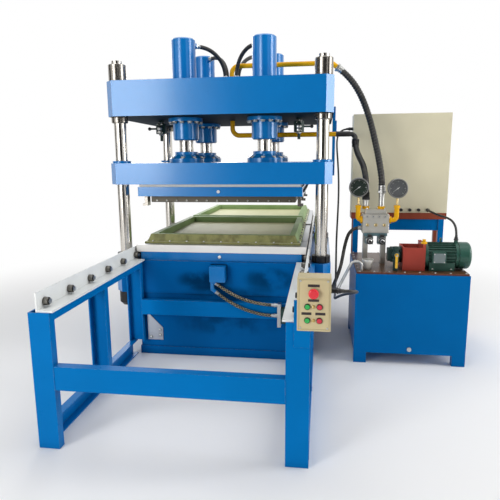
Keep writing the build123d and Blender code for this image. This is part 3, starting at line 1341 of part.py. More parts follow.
# Pump bracket: a red box that carries the pump on its left plate and the motor on its right
bracket_y = (MOTOR_AXIS_Y - BRACKET_WIDTH / 2, MOTOR_AXIS_Y + BRACKET_WIDTH / 2)
with BuildPart() as bracket_box:
    block((bracket_left, bracket_right), bracket_y, (lid_top, lid_top + BRACKET_WALL_HEIGHT))
    block((bracket_right - BRACKET_PLATE, bracket_right), bracket_y, (lid_top, lid_top + BRACKET_PLATE_HEIGHT))
    block(
        (bracket_left + BRACKET_WALL, bracket_right - BRACKET_PLATE),
        (bracket_y[0] + BRACKET_WALL, bracket_y[1] - BRACKET_WALL),
        (lid_top + BRACKET_WALL, lid_top + BRACKET_PLATE_HEIGHT + OVERRUN),
        mode=Mode.SUBTRACT,
    )
    plate_hole = (bracket_right - BRACKET_PLATE - OVERRUN, *motor_centre)
    round_bar(BRACKET_BORE, plate_hole, BRACKET_PLATE + 2 * OVERRUN, ALONG_X, mode=Mode.SUBTRACT)
    wall_hole = (bracket_left - OVERRUN, *motor_centre)
    round_bar(BRACKET_SHAFT_BORE, wall_hole, BRACKET_WALL + 2 * OVERRUN, ALONG_X, mode=Mode.SUBTRACT)

with BuildPart() as bracket_port:
    port_x = bracket_right - BRACKET_PLATE / 2
    port_base = lid_top + BRACKET_PLATE_HEIGHT
    round_bar(BRACKET_PORT_DIAMETER, (port_x, bracket_y[0] + BRACKET_PLATE, port_base), BRACKET_PORT_HEIGHT)
    round_bar(BRACKET_PORT_NUT, (port_x, bracket_y[0] + BRACKET_PLATE, port_base), BRACKET_PORT_NUT_HEIGHT)

pump_bracket = Compound([bracket_box.part, bracket_port.part], label="pump_bracket")
export_step(pump_bracket, "parts/pump_bracket.step")

# Gear pump on the bracket's left plate
with BuildPart() as hydraulic_pump:
    pump_right = bracket_left
    with BuildSketch(Plane.YZ.offset(pump_right - PUMP_LENGTH)) as pump_section:
        with Locations(motor_centre):
            RectangleRounded(PUMP_WIDTH, PUMP_HEIGHT, PUMP_CORNER)
    extrude(amount=PUMP_LENGTH)
    with BuildSketch(Plane.YZ.offset(pump_right - PUMP_LENGTH - PUMP_COVER)) as cover_section:
        with Locations(motor_centre):
            RectangleRounded(PUMP_WIDTH - 2 * PUMP_COVER_INSET, PUMP_HEIGHT - 2 * PUMP_COVER_INSET, PUMP_CORNER)
    extrude(amount=PUMP_COVER)
    round_bar(PUMP_FLANGE, (pump_right - PUMP_FLANGE_LENGTH, *motor_centre), PUMP_FLANGE_LENGTH, ALONG_X)
    shaft_reach = coupling_right - COUPLING_LENGTH - SIDE_GAP - pump_right
    round_bar(SHAFT_DIAMETER, (pump_right, *motor_centre), shaft_reach, ALONG_X)
hydraulic_pump.part.label = "hydraulic_pump"
export_step(hydraulic_pump.part, "parts/hydraulic_pump.step")

# Valve block on two legs, with yellow elbows at its sides and nipples on top
block_x = (block_left, block_left + BLOCK_WIDTH)
block_y = (BLOCK_FRONT, BLOCK_FRONT + BLOCK_DEPTH)
block_middle_y = sum(block_y) / 2
block_low = lid_top + BLOCK_LIFT
block_high = block_low + BLOCK_HEIGHT
with BuildPart() as valve_manifold:
    block(block_x, block_y, (block_low, block_high - BLOCK_CAP_HEIGHT))
    block(
        (block_x[0] + BLOCK_CAP_INSET, block_x[1] - BLOCK_CAP_INSET),
        (block_y[0] + BLOCK_CAP_INSET, block_y[1] - BLOCK_CAP_INSET),
        (block_high - BLOCK_CAP_HEIGHT, block_high),
    )
    chamfer(valve_manifold.edges().filter_by(Axis.Z), NUT_BEVEL)
    for left in (block_x[0] + BLOCK_LEG_INSET, block_x[1] - BLOCK_LEG_INSET - BLOCK_LEG):
        block((left, left + BLOCK_LEG), (block_middle_y, block_y[1]), (lid_top, block_low))

elbow_z = block_high - BLOCK_CAP_HEIGHT - ELBOW_DROP
elbow_top = elbow_z + ELBOW_RISE
elbow_y = block_y[0] + ELBOW_INSET
nipple_y = block_y[1] - NIPPLE_INSET
gauge_left_x = block_x[0] - ELBOW_LEFT_REACH
gauge_right_x = block_x[1] + ELBOW_RIGHT_REACH
elbows = [
    pipe(
        [(start, elbow_y, elbow_z), (end, elbow_y, elbow_z), (end, elbow_y, elbow_top)],
        ELBOW_DIAMETER,
        ELBOW_BEND,
    )
    for start, end in ((block_x[0], gauge_left_x), (block_x[1], gauge_right_x))
]
with BuildPart() as nipples:
    for inset, height in (
        (RETURN_NIPPLE_INSET, RETURN_NIPPLE_HEIGHT),
        (PRESSURE_NIPPLE_INSET, PRESSURE_NIPPLE_HEIGHT),
    ):
        round_bar(NIPPLE_DIAMETER, (block_x[0] + inset, nipple_y, block_high), height)

valve_block = Compound([valve_manifold.part, *elbows, nipples.part], label="valve_block")
export_step(valve_block, "parts/valve_block.step")

# Solenoid valves side by side under the block's front, each with a coil at both ends
with BuildPart() as solenoid:
    solenoid_z = (lid_top + SOLENOID_LIFT, lid_top + SOLENOID_LIFT + SOLENOID_HEIGHT)
    solenoid_y = (block_middle_y - SOLENOID_DEPTH, block_middle_y)
    block((-SOLENOID_WIDTH / 2, SOLENOID_WIDTH / 2), solenoid_y, solenoid_z)
    coil_start = (0, block_middle_y - SOLENOID_DEPTH, sum(solenoid_z) / 2)
    round_bar(COIL_DIAMETER, coil_start, COIL_LENGTH, TOWARDS_FRONT)
    cap_start = (0, block_middle_y - SOLENOID_DEPTH - COIL_LENGTH, sum(solenoid_z) / 2)
    round_bar(COIL_CAP, cap_start, COIL_CAP_LENGTH, TOWARDS_FRONT)

with BuildPart() as valve_rail:
    block(
        (block_x[0] + BLOCK_LEG_INSET, block_x[1] - BLOCK_LEG_INSET),
        (block_middle_y - SOLENOID_DEPTH, block_middle_y),
        (solenoid_z[1], block_low),
    )

solenoid_valves = Compound(
    [valve_rail.part]
    + [solenoid.part.moved(Location((block_x[0] + BLOCK_WIDTH * share, 0, 0))) for share in SOLENOID_SHARES],
    label="solenoid_valves",
)
export_step(solenoid_valves, "parts/solenoid_valves.step")

# Pressure gauges on stems above the elbows
gauge_pieces = []
for x, stem_rise in ((gauge_left_x, GAUGE_LEFT_RISE), (gauge_right_x, GAUGE_RIGHT_RISE)):
    gauge_z = elbow_top + stem_rise + GAUGE_DIAMETER / 2
    gauge_back = elbow_y + GAUGE_DEPTH / 2
    with BuildPart() as gauge:
        round_bar(GAUGE_DIAMETER, (x, gauge_back, gauge_z), GAUGE_DEPTH, TOWARDS_FRONT)
        chamfer(gauge.edges().filter_by(GeomType.CIRCLE), GAUGE_RIM / 2)
        dial = (x, gauge_back - GAUGE_DEPTH + GAUGE_RECESS, gauge_z)
        dial_width = GAUGE_DIAMETER - 2 * GAUGE_RIM
        round_bar(dial_width, dial, GAUGE_RECESS + OVERRUN, TOWARDS_FRONT, mode=Mode.SUBTRACT)
        round_bar(GAUGE_STEM, (x, elbow_y, elbow_top), stem_rise + GAUGE_RIM)
    gauge_pieces.append(gauge.part)
pressure_gauges = Compound(gauge_pieces, label="pressure_gauges")
export_step(pressure_gauges, "parts/pressure_gauges.step")

# Ball valve on the lid, and its lever on the front stem
ball_z = lid_top + BALL_LIFT
with BuildPart() as ball_valve:
    with Locations((ball_x, BALL_Y, ball_z)):
        Sphere(BALL_DIAMETER / 2)
        round_bar(BALL_NECK, (0, 0, 0), BALL_NECK_LENGTH, TOWARDS_FRONT)
        round_bar(BALL_STEM, (0, -BALL_NECK_LENGTH, 0), BALL_STEM_LENGTH, TOWARDS_FRONT)
        for low in (-BALL_TOP, BALL_TOP - BALL_NUT_HEIGHT):
            with Locations((0, 0, low)):
                Cylinder(BALL_NUT / 2, BALL_NUT_HEIGHT, align=BASE_UP)
    round_bar(BALL_PIPE, (ball_x, BALL_Y, lid_top), BALL_LIFT + BALL_TOP)
ball_valve.part.label = "ball_valve"
export_step(ball_valve.part, "parts/ball_valve.step")

with BuildPart() as valve_lever:
    lever_back = BALL_Y - BALL_NECK_LENGTH - SIDE_GAP
    with BuildSketch(Plane.XZ.offset(-lever_back)) as lever_outline:
        with Locations((ball_x, ball_z)):
            Circle(LEVER_HUB / 2)
            with Locations((0, -LEVER_LENGTH / 2)):
                SlotOverall(LEVER_LENGTH, LEVER_WIDTH, rotation=90)
            Circle(BALL_STEM / 2 + RUN_GAP, mode=Mode.SUBTRACT)
    extrude(amount=LEVER_THICKNESS)
valve_lever.part.label = "valve_lever"
export_step(valve_lever.part, "parts/valve_lever.step")

# Electrical cabinet: a sheet shell open to the back, with its mounting plate and cable glands
cabinet_x = (cabinet_left, cabinet_left + CABINET_WIDTH)
cabinet_y = (CABINET_FRONT, CABINET_FRONT + CABINET_DEPTH)
cabinet_z = (STAND_HEIGHT, STAND_HEIGHT + CABINET_HEIGHT)
cabinet_middle = (sum(cabinet_x) / 2, sum(cabinet_z) / 2)
side_gland_z = STAND_HEIGHT + SIDE_GLAND_LIFT
with BuildPart() as cabinet_shell:
    block(cabinet_x, cabinet_y, cabinet_z)
    block(
        (cabinet_x[0] + CABINET_WALL, cabinet_x[1] - CABINET_WALL),
        (cabinet_y[0] + CABINET_WALL, cabinet_y[1] + OVERRUN),
        (cabinet_z[0] + CABINET_WALL, cabinet_z[1] - CABINET_WALL),
        mode=Mode.SUBTRACT,
    )

plate_front = cabinet_y[0] + CABINET_WALL + PLATE_STANDOFF
plate_y = (plate_front, plate_front + PLATE_THICKNESS)
plate_width = CABINET_WIDTH - 2 * PLATE_INSET
plate_height = CABINET_HEIGHT - 2 * PLATE_INSET
with BuildPart() as mounting_plate:
    block(
        (cabinet_middle[0] - plate_width / 2, cabinet_middle[0] + plate_width / 2),
        plate_y,
        (cabinet_middle[1] - plate_height / 2, cabinet_middle[1] + plate_height / 2),
    )
    for side in (-1, 1):
        for level in (-1, 1):
            boss = (
                cabinet_middle[0] + side * (plate_width / 2 - PLATE_BOSS),
                plate_y[0],
                cabinet_middle[1] + level * (plate_height / 2 - PLATE_BOSS),
            )
            round_bar(PLATE_BOSS, boss, PLATE_STANDOFF, TOWARDS_FRONT)

with BuildPart() as switch_gear:
    for level in (-GEAR_ROW_SHARE, GEAR_ROW_SHARE):
        row_middle = cabinet_middle[1] + level * CABINET_HEIGHT
        with Locations((cabinet_middle[0], plate_y[1] + GEAR_DEPTH / 2, row_middle)):
            with GridLocations(GEAR_PITCH, 0, GEARS, 1):
                Box(GEAR_WIDTH, GEAR_DEPTH, GEAR_HEIGHT)

with BuildPart() as glands:
    for place in GLAND_PLACES:
        x = cabinet_x[0] + GLAND_INSET + place * GLAND_PITCH
        round_bar(GLAND_DIAMETER, (x, cabinet_y[0], STAND_HEIGHT + GLAND_LIFT), GLAND_LENGTH, TOWARDS_FRONT)
    side_gland = (cabinet_x[0], cabinet_y[0] + SIDE_GLAND_INSET, side_gland_z)
    round_bar(GLAND_DIAMETER, side_gland, GLAND_LENGTH, TOWARDS_LEFT)

hinge_x = cabinet_x[1] - HINGE_IN
door_back = cabinet_y[1] + DOOR_THICKNESS
hinge_y = door_back + HINGE_DIAMETER / 2 + SIDE_GAP
hinge_heights = (cabinet_z[0] + HINGE_INSET, cabinet_z[1] - HINGE_INSET - HINGE_LENGTH)
arm_x = (cabinet_x[1], cabinet_x[1] + HINGE_LEAF)
with BuildPart() as hinge_arms:
    for height in hinge_heights:
        arm_z = (height - HINGE_LENGTH / 2, height - SIDE_GAP)
        block(arm_x, (cabinet_y[1] - HINGE_LEAF_WIDTH, hinge_y), arm_z)
        block((hinge_x, arm_x[1]), (hinge_y - HINGE_LEAF, hinge_y), arm_z)
        round_bar(HINGE_DIAMETER, (hinge_x, hinge_y, arm_z[0]), arm_z[1] - arm_z[0])
        round_bar(HINGE_PIN, (hinge_x, hinge_y, arm_z[0]), HINGE_LENGTH / 2 + HINGE_LENGTH)

control_cabinet = Compound(
    [cabinet_shell.part, mounting_plate.part, switch_gear.part, glands.part, hinge_arms.part],
    label="control_cabinet",
)
export_step(control_cabinet, "parts/control_cabinet.step")

# Cabinet door: a folded pan on two hinges at the right, with a round latch
with BuildPart() as cabinet_door:
    block(
        (cabinet_x[0] + DOOR_GAP, cabinet_x[1] - DOOR_GAP),
        (cabinet_y[1] + DOOR_GAP, door_back),
        (cabinet_z[0] + DOOR_GAP, cabinet_z[1] - DOOR_GAP),
    )
    offset(amount=-DOOR_WALL, openings=cabinet_door.faces().sort_by(Axis.Y)[0])
    round_bar(LATCH_DIAMETER, (cabinet_x[0] + PLATE_INSET, door_back, cabinet_middle[1]), LATCH_HEIGHT, ALONG_Y)
    for height in hinge_heights:
        leaf_z = (height, height + HINGE_LENGTH)
        block((hinge_x - HINGE_LEAF_WIDTH, hinge_x), (door_back, door_back + HINGE_LEAF), leaf_z)
        block((hinge_x - HINGE_DIAMETER / 2, hinge_x), (door_back, hinge_y), leaf_z)
        round_bar(HINGE_DIAMETER, (hinge_x, hinge_y, height), HINGE_LENGTH)
        round_bar(HINGE_PIN + 2 * RUN_GAP, (hinge_x, hinge_y, height), HINGE_LENGTH, mode=Mode.SUBTRACT)
cabinet_door.part.label = "cabinet_door"
export_step(cabinet_door.part, "parts/cabinet_door.step")

# Cabinet stand: four legs, a top frame, low ties and a blue apron in front
with BuildPart() as stand_frame:
    block(cabinet_x, cabinet_y, (STAND_HEIGHT - STAND_RAIL_HEIGHT, STAND_HEIGHT))
    block(
        (cabinet_x[0] + STAND_LEG, cabinet_x[1] - STAND_LEG),
        (cabinet_y[0] + STAND_LEG, cabinet_y[1] - STAND_LEG),
        (STAND_HEIGHT - STAND_RAIL_HEIGHT - OVERRUN, STAND_HEIGHT + OVERRUN),
        mode=Mode.SUBTRACT,
    )

leg_span_x = CABINET_WIDTH - STAND_LEG - 2 * STAND_LEG_INSET
leg_span_y = CABINET_DEPTH - STAND_LEG
with BuildPart() as stand_legs:
    with Locations((cabinet_middle[0], sum(cabinet_y) / 2, 0)):
        with GridLocations(leg_span_x, leg_span_y, 2, 2):
            Box(STAND_LEG, STAND_LEG, STAND_HEIGHT - STAND_RAIL_HEIGHT, align=BASE_UP)

with BuildPart() as stand_ties:
    with Locations((cabinet_middle[0], sum(cabinet_y) / 2, STAND_TIE_LIFT)):
        with GridLocations(leg_span_x, 0, 2, 1):
            Box(STAND_LEG, leg_span_y - STAND_LEG, STAND_TIE_HEIGHT, align=BASE_UP)

with BuildPart() as apron:
    apron_top = STAND_HEIGHT - STAND_RAIL_HEIGHT
    block(
        (cabinet_middle[0] - leg_span_x / 2 + STAND_LEG / 2, cabinet_middle[0] + leg_span_x / 2 - STAND_LEG / 2),
        (cabinet_y[0] + STAND_SETBACK, cabinet_y[0] + STAND_SETBACK + STAND_APRON),
        (apron_top - STAND_APRON_HEIGHT, apron_top),
    )

cabinet_stand = Compound(
    [stand_frame.part, stand_legs.part, stand_ties.part, apron.part],
    label="cabinet_stand",
)
export_step(cabinet_stand, "parts/cabinet_stand.step")

# Drain pipe from the press to the tank lid
drain_end_x = tank_x[0] + LID_INSET + DRAIN_PIPE_INSET
drain_pipe = pipe(
    [
        (beam_end, DRAIN_PIPE_Y, DRAIN_PIPE_LOW),
        (beam_end + DRAIN_PIPE_STUB, DRAIN_PIPE_Y, DRAIN_PIPE_LOW),
        (drain_end_x - DRAIN_PIPE_LEVEL, DRAIN_PIPE_Y, lid_top + DRAIN_PIPE_RISE),
        (drain_end_x, DRAIN_PIPE_Y, lid_top + DRAIN_PIPE_RISE),
        (drain_end_x, DRAIN_PIPE_Y, lid_top),
    ],
    DRAIN_PIPE_DIAMETER,
    DRAIN_PIPE_BEND,
)
drain_pipe.label = "drain_pipe"
export_step(drain_pipe, "parts/drain_pipe.step")

# Free hoses and cables
routes = (
    ("pressure_hose", shifted(PRESSURE_ROUTE, unit_shift, unit_shift), HOSE_DIAMETER),
    ("return_hose", shifted(RETURN_ROUTE, unit_shift, unit_shift), HOSE_DIAMETER),
    ("shuttle_hose_upper", SHUTTLE_UPPER_ROUTE, SHUTTLE_HOSE_DIAMETER),
    ("shuttle_hose_lower", SHUTTLE_LOWER_ROUTE, SHUTTLE_HOSE_DIAMETER),
    ("feed_hose", shifted(FEED_ROUTE, unit_shift, 0), FEED_HOSE_DIAMETER),
    ("pendant_cable", shifted(PENDANT_ROUTE, unit_shift, unit_shift), CABLE_DIAMETER),
    ("motor_cable", shifted(MOTOR_CABLE_ROUTE, unit_shift, unit_shift), MOTOR_CABLE_DIAMETER),
)
for cord_name, route, cord_diameter in routes:
    line = cord(cord_name, route, cord_diameter)
    line.label = cord_name
    export_step(line, f"parts/{cord_name}.step")
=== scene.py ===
"""A four-column hydraulic moulding press: finishes, hoses, fasteners, gauges and a studio."""

from math import cos, pi, radians, sin

import bmesh
import bpy
from mathutils import Matrix, Vector


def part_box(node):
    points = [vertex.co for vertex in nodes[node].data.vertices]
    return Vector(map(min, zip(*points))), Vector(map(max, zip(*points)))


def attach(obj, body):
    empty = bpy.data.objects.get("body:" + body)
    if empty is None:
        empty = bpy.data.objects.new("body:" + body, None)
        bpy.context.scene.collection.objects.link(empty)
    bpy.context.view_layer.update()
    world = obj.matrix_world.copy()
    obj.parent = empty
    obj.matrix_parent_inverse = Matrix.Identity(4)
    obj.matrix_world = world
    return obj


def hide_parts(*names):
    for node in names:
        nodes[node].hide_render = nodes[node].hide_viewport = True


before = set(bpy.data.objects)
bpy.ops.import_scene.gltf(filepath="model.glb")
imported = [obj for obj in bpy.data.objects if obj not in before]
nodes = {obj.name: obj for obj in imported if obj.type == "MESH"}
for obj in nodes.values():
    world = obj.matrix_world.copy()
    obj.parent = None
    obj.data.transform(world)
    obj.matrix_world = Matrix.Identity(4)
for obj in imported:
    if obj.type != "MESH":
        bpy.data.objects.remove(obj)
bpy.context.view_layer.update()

MM = 0.001
UP, DOWN = Vector((0, 0, 1)), Vector((0, 0, -1))
FRONT, BACK = Vector((0, -1, 0)), Vector((0, 1, 0))
LEFT, RIGHT = Vector((-1, 0, 0)), Vector((1, 0, 0))
CORNERS = ((-1, -1), (1, -1), (-1, 1), (1, 1))


def at(x, y, z):
    """A place in millimetres as a vector."""
    return Vector((x, y, z))


def box_of(node):
    """Low and high corners of a CAD node in millimetres."""
    low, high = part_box(node)
    return low / MM, high / MM


def srgb(red, green, blue):
    """A screen colour from 0 to 255 as linear light."""
    shares = [channel / 255 for channel in (red, green, blue)]
    return tuple(((share + 0.055) / 1.055) ** 2.4 for share in shares) + (1,)


def shade(colour, times):
    """A colour made lighter or darker."""
    return tuple(min(1, channel * times) for channel in colour[:3]) + (1,)


# Shader tools


def arithmetic(operation):
    """The plain and reflected methods of a wire for one Math operation."""

    def plain(wire, other):
        return wire.graph.node("ShaderNodeMath", {0: wire, 1: other}, operation=operation)

    def reflected(wire, other):
        return wire.graph.node("ShaderNodeMath", {0: other, 1: wire}, operation=operation)

    return plain, reflected


class Wire:
    """A shader output; arithmetic on it adds Math nodes to its graph."""

    __add__, __radd__ = arithmetic("ADD")
    __sub__, __rsub__ = arithmetic("SUBTRACT")
    __mul__, __rmul__ = arithmetic("MULTIPLY")
    __truediv__, __rtruediv__ = arithmetic("DIVIDE")

    def __init__(self, graph, socket):
        self.graph = graph
        self.socket = socket

    def above(self, low, high):
        """0 under low and 1 over high, with a soft step between."""
        inputs = {0: self, 1: low, 2: high}
        return self.graph.node("ShaderNodeMapRange", inputs, interpolation_type="SMOOTHSTEP")


class Graph:
    """A tree of shader nodes, of a material or the world."""

    def __init__(self, tree):
        self.tree = tree

    def node(self, kind, inputs=None, out=0, **settings):
        """Any node: its settings first, then the values or links of its sockets."""
        made = self.tree.nodes.new(kind)
        for setting, value in settings.items():
            setattr(made, setting, value)
        for socket, value in (inputs or {}).items():
            self.feed(made.inputs[socket], value)
        return Wire(self, made.outputs[out])

    def feed(self, socket, value):
        """Links a wire to a socket, or sets the socket's value."""
        if isinstance(value, Wire):
            self.tree.links.new(value.socket, socket)
        else:
            socket.default_value = value

    def seen(self):
        """1 for rays from the camera, reflections and glass, and 0 for diffuse light and shadows."""
        kinds = ("Is Camera Ray", "Is Glossy Ray", "Is Transmission Ray")
        camera, glossy, through = [self.node("ShaderNodeLightPath", out=kind) for kind in kinds]
        return (camera + glossy + through).above(0, 1)


class Finish(Graph):
    """A material and the nodes that its look is made of."""

    def __init__(self, name):
        self.material = bpy.data.materials.new(name)
        self.material.use_nodes = True
        super().__init__(self.material.node_tree)
        self.shader = self.tree.nodes["Principled BSDF"]
        self.place = self.node("ShaderNodeTexCoord", out="Object")

    def mix(self, share, first, second):
        """A colour between two colours."""
        return self.node("ShaderNodeMix", {0: share, 6: first, 7: second}, out=2, data_type="RGBA")

    def noise(self, scale, detail=3, stretch=(1, 1, 1)):
        """Clouds over the surface; scale is in lumps per metre."""
        where = self.node("ShaderNodeMapping", {"Vector": self.place, "Scale": stretch})
        return self.node("ShaderNodeTexNoise", {"Vector": where, "Scale": scale, "Detail": detail})

    def axis(self, name):
        """One coordinate of the place on the part, in metres."""
        return self.node("ShaderNodeSeparateXYZ", {0: self.place}, out=name)

    def facing(self, name):
        """How far the surface looks along an axis, from -1 to 1."""
        normal = self.node("ShaderNodeTexCoord", out="Normal")
        return self.node("ShaderNodeSeparateXYZ", {0: normal}, out=name)

    def edges(self, radius):
        """Bright along sharp edges, for worn corners."""
        rounded = self.node("ShaderNodeBevel", {"Radius": radius}, samples=4)
        flat = self.node("ShaderNodeNewGeometry", out="Normal")
        inputs = {0: rounded, 1: flat}
        same = self.node("ShaderNodeVectorMath", inputs, out="Value", operation="DOT_PRODUCT")
        return (1 - same).above(0.01, 0.22)

    def corners(self, reach):
        """Bright in hollows and inner corners: a mask for painted shade there, also used for the dirt that
        gathers.
        """
        open_share = self.node("ShaderNodeAmbientOcclusion", {"Distance": reach}, out="AO", samples=6)
        return 1 - open_share

    def bump(self, height, strength, distance, rounding=0):
        """Relief from a height, over edges rounded by a radius."""
        inputs = {"Height": height, "Strength": strength, "Distance": distance}
        if rounding:
            inputs["Normal"] = self.node("ShaderNodeBevel", {"Radius": rounding}, samples=4)
        self.set(Normal=self.node("ShaderNodeBump", inputs))

    def set(self, **sockets):
        """Values or links for the shader's sockets, with _ for a space."""
        for socket, value in sockets.items():
            self.feed(self.shader.inputs[socket.replace("_", " ")], value)
        return self.material


# Finishes

WHITE = (1, 1, 1, 1)
BLUE_SHEEN = (0.05, 0.5, 1, 1)
BARE_STEEL = srgb(150, 150, 148)
# Dark tone for dirt and for painted shade in corners
SHOP_DIRT_AND_SHADE = srgb(44, 40, 34)
DRY_DUST = srgb(92, 88, 80)


def oil_marks(finish, soil_and_shade, spots):
    """Soil and painted corner shade, with oily smears added, each with a middle and half sizes in metres,
    and a depth.
    """
    smear = finish.noise(6, detail=5).above(0.28, 0.6)
    across, up = finish.axis("X"), finish.axis("Z")
    for x, z, wide, high, depth in spots:
        side, rise = (across - x) / wide, (up - z) / high
        near = 1 - (side * side + rise * rise).above(0, 1)
        soil_and_shade = soil_and_shade + near * smear * depth
    return soil_and_shade


def enamel(
    name, colour, rough=0.3, wear=0.35, dirt_and_shade=0.5, peel=0.08, gloss=0.12, coat=0.08, sheen=WHITE,
    spots=(),
):
    """Sprayed machine paint: cloudy tone, painted shade and dirt in corners, runs down the sides and chipped
    edges.
    """
    finish = Finish(name)
    clouds = finish.noise(2.2, detail=4)
    specks = finish.noise(46, detail=6)
    runs = finish.noise(7, detail=3, stretch=(1, 1, 0.1))
    tone = finish.mix(clouds, shade(colour, 0.86), shade(colour, 1.14))
    # Painted shade: hollows and inner corners darken towards a dark copy of the paint, with streaky dirt
    # runs added
    soil_and_shade = (finish.corners(0.09) * 1.1 + runs.above(0.5, 0.85) * 0.2) * dirt_and_shade
    if spots:
        soil_and_shade = oil_marks(finish, soil_and_shade, spots)
    soil_and_shade = soil_and_shade.above(0.02, 1)
    tone = finish.mix(soil_and_shade, tone, shade(colour, 0.22))
    chips = finish.edges(0.004) * specks.above(0.42, 0.62) * wear
    tone = finish.mix(chips, tone, BARE_STEEL)
    finish.bump(finish.noise(420, detail=2) * 0.6 + specks * 0.4, peel, 0.002, rounding=0.003)
    return finish.set(
        Base_Color=tone,
        Roughness=specks * 0.16 + soil_and_shade * 0.2 + (rough - 0.08),
        Metallic=chips * 0.8,
        Coat_Weight=(1 - soil_and_shade) * coat,
        Coat_Roughness=0.18,
        Specular_IOR_Level=gloss,
        Specular_Tint=sheen,
    )


def tray_paint():
    """Mould-tray paint: pale olive green on the rims, a rubbed pale floor, an oily brown front wall and
    painted shade in corners.
    """
    finish = Finish("tray_green_paint")
    clouds = finish.noise(3.4, detail=5)
    specks = finish.noise(70, detail=6)
    rub = finish.noise(5, detail=5, stretch=(1, 0.25, 1))
    wall = finish.mix(clouds, srgb(108, 140, 76), srgb(164, 188, 130))
    floor = finish.mix(rub, srgb(190, 192, 134), srgb(230, 226, 180))
    low = 1 - finish.axis("Z").above(0.966, 0.972)
    tone = finish.mix(low * finish.facing("Z").above(0.5, 0.9), wall, floor)
    front = finish.facing("Y") * -1
    outer = 1 - finish.axis("Y").above(-0.58, -0.57)
    oily = front.above(0.6, 0.9) * outer * (rub * 0.35 + 0.62)
    mottle = finish.noise(16, detail=6, stretch=(1, 1, 0.6)).above(0.38, 0.66)
    tone = finish.mix(oily, tone, finish.mix(mottle, srgb(140, 132, 84), srgb(98, 82, 50)))
    # Painted shade in hollows and corners, with dirt specks, darkens towards dark olive
    soil_and_shade = (finish.corners(0.05) * 0.9 + specks.above(0.6, 0.8) * 0.18).above(0.05, 1.1)
    tone = finish.mix(soil_and_shade, tone, srgb(60, 62, 34))
    chips = finish.edges(0.003) * specks.above(0.4, 0.6) * 0.5
    tone = finish.mix(chips, tone, srgb(176, 178, 166))
    finish.bump(specks, 0.12, 0.002, rounding=0.002)
    finish.set(Specular_IOR_Level=0.25)
    return finish.set(Base_Color=tone, Roughness=specks * 0.25 + 0.4, Metallic=chips * 0.7)


def bright_metal(name, colour, rough, grain=(1, 1, 1), stain=0.25, relief=0.05):
    """Bare metal with tool marks along one way, faint stains and painted shade in corners."""
    finish = Finish(name)
    marks = finish.noise(160, detail=4, stretch=grain)
    cloud = finish.noise(6, detail=5)
    tone = finish.mix(marks * 0.5 + cloud * 0.5, shade(colour, 0.78), shade(colour, 1.12))
    # Painted shade in corners, with stains, darkens the metal towards the dirt and shade tone
    soil_and_shade = (finish.corners(0.03) * 1.2 + cloud.above(0.55, 0.8) * stain).above(0.05, 1.2)
    tone = finish.mix(soil_and_shade, tone, SHOP_DIRT_AND_SHADE)
    finish.bump(marks, relief, 0.001, rounding=0.0015)
    return finish.set(
        Base_Color=tone,
        Roughness=marks * 0.14 + cloud * 0.1 + soil_and_shade * 0.3 + (rough - 0.12),
        Metallic=1 - soil_and_shade * 0.5,
    )


def casting(name, colour, rough=0.5, metal=0, grain=0.35):
    """Cast or moulded surface with a sandy relief."""
    finish = Finish(name)
    sand = finish.noise(240, detail=4)
    cloud = finish.noise(7, detail=5)
    tone = finish.mix(cloud, shade(colour, 0.8), shade(colour, 1.25))
    # Painted shade in corners, with sandy dirt specks
    soil_and_shade = (finish.corners(0.03) + sand.above(0.58, 0.75) * 0.2).above(0.05, 1.2)
    tone = finish.mix(soil_and_shade, tone, shade(SHOP_DIRT_AND_SHADE, 0.6))
    worn = finish.edges(0.0025) * sand.above(0.4, 0.6) * 0.5
    tone = finish.mix(worn, tone, shade(colour, 2.2))
    finish.bump(sand, grain, 0.002, rounding=0.002)
    return finish.set(Base_Color=tone, Roughness=sand * 0.2 + (rough - 0.1), Metallic=metal)


def rubber(name, colour, rough=0.5):
    """Hose or cable cover with a fine cloth imprint and dusty patches."""
    finish = Finish(name)
    cloth = finish.noise(260)
    dust = finish.noise(14, detail=5)
    tone = finish.mix(dust.above(0.5, 0.78) * 0.5, colour, DRY_DUST)
    finish.bump(cloth, 0.25, 0.0015)
    return finish.set(Base_Color=tone, Roughness=dust * 0.25 + (rough - 0.1))


def moulded(name, colour, rough=0.22):
    """Glossy moulded plastic with handling marks."""
    finish = Finish(name)
    rub = finish.noise(90, detail=5)
    tone = finish.mix(rub.above(0.45, 0.75) * 0.25, colour, shade(colour, 0.7))
    finish.bump(rub, 0.04, 0.0008, rounding=0.001)
    return finish.set(Base_Color=tone, Roughness=rub * 0.18 + (rough - 0.06), Coat_Weight=0.4)


def fibre_board():
    """White heat-proof board with a fibrous cut edge."""
    finish = Finish("white_fibre_board")
    fibres = finish.noise(120, detail=5, stretch=(0.2, 0.2, 2.2))
    scorch = finish.noise(4, detail=4)
    tone = finish.mix(fibres, srgb(226, 224, 216), srgb(250, 249, 245))
    tone = finish.mix(scorch.above(0.55, 0.8) * 0.35, tone, srgb(196, 184, 160))
    finish.bump(fibres, 0.3, 0.002)
    return finish.set(Base_Color=tone, Roughness=fibres * 0.1 + 0.68)


def dial_glass():
    """Clear gauge glass with a faint smear."""
    finish = Finish("gauge_glass")
    smear = finish.noise(60, detail=4)
    finish.set(Base_Color=(0.03, 0.04, 0.04, 1), Roughness=smear * 0.06)
    return finish.set(Alpha=smear * 0.06 + 0.08)


BASE_MARKS = (
    (-0.16, 0.66, 0.26, 0.11, 0.8), (0.42, 0.68, 0.28, 0.13, 0.7), (0.05, 0.27, 0.6, 0.11, 0.5),
    (0.08, 0.55, 0.5, 0.08, 0.45),
)
blue_paint = enamel("press_blue_paint", srgb(0, 116, 188), gloss=0.3, coat=1, sheen=BLUE_SHEEN)
# A darker copy of the press blue as painted shade of the press over the base, with real oil marks
shaded_base_paint = enamel(
    "base_blue_paint_darkened_for_shade", srgb(0, 96, 164), dirt_and_shade=0.8, coat=0.03, sheen=BLUE_SHEEN, spots=BASE_MARKS,
)
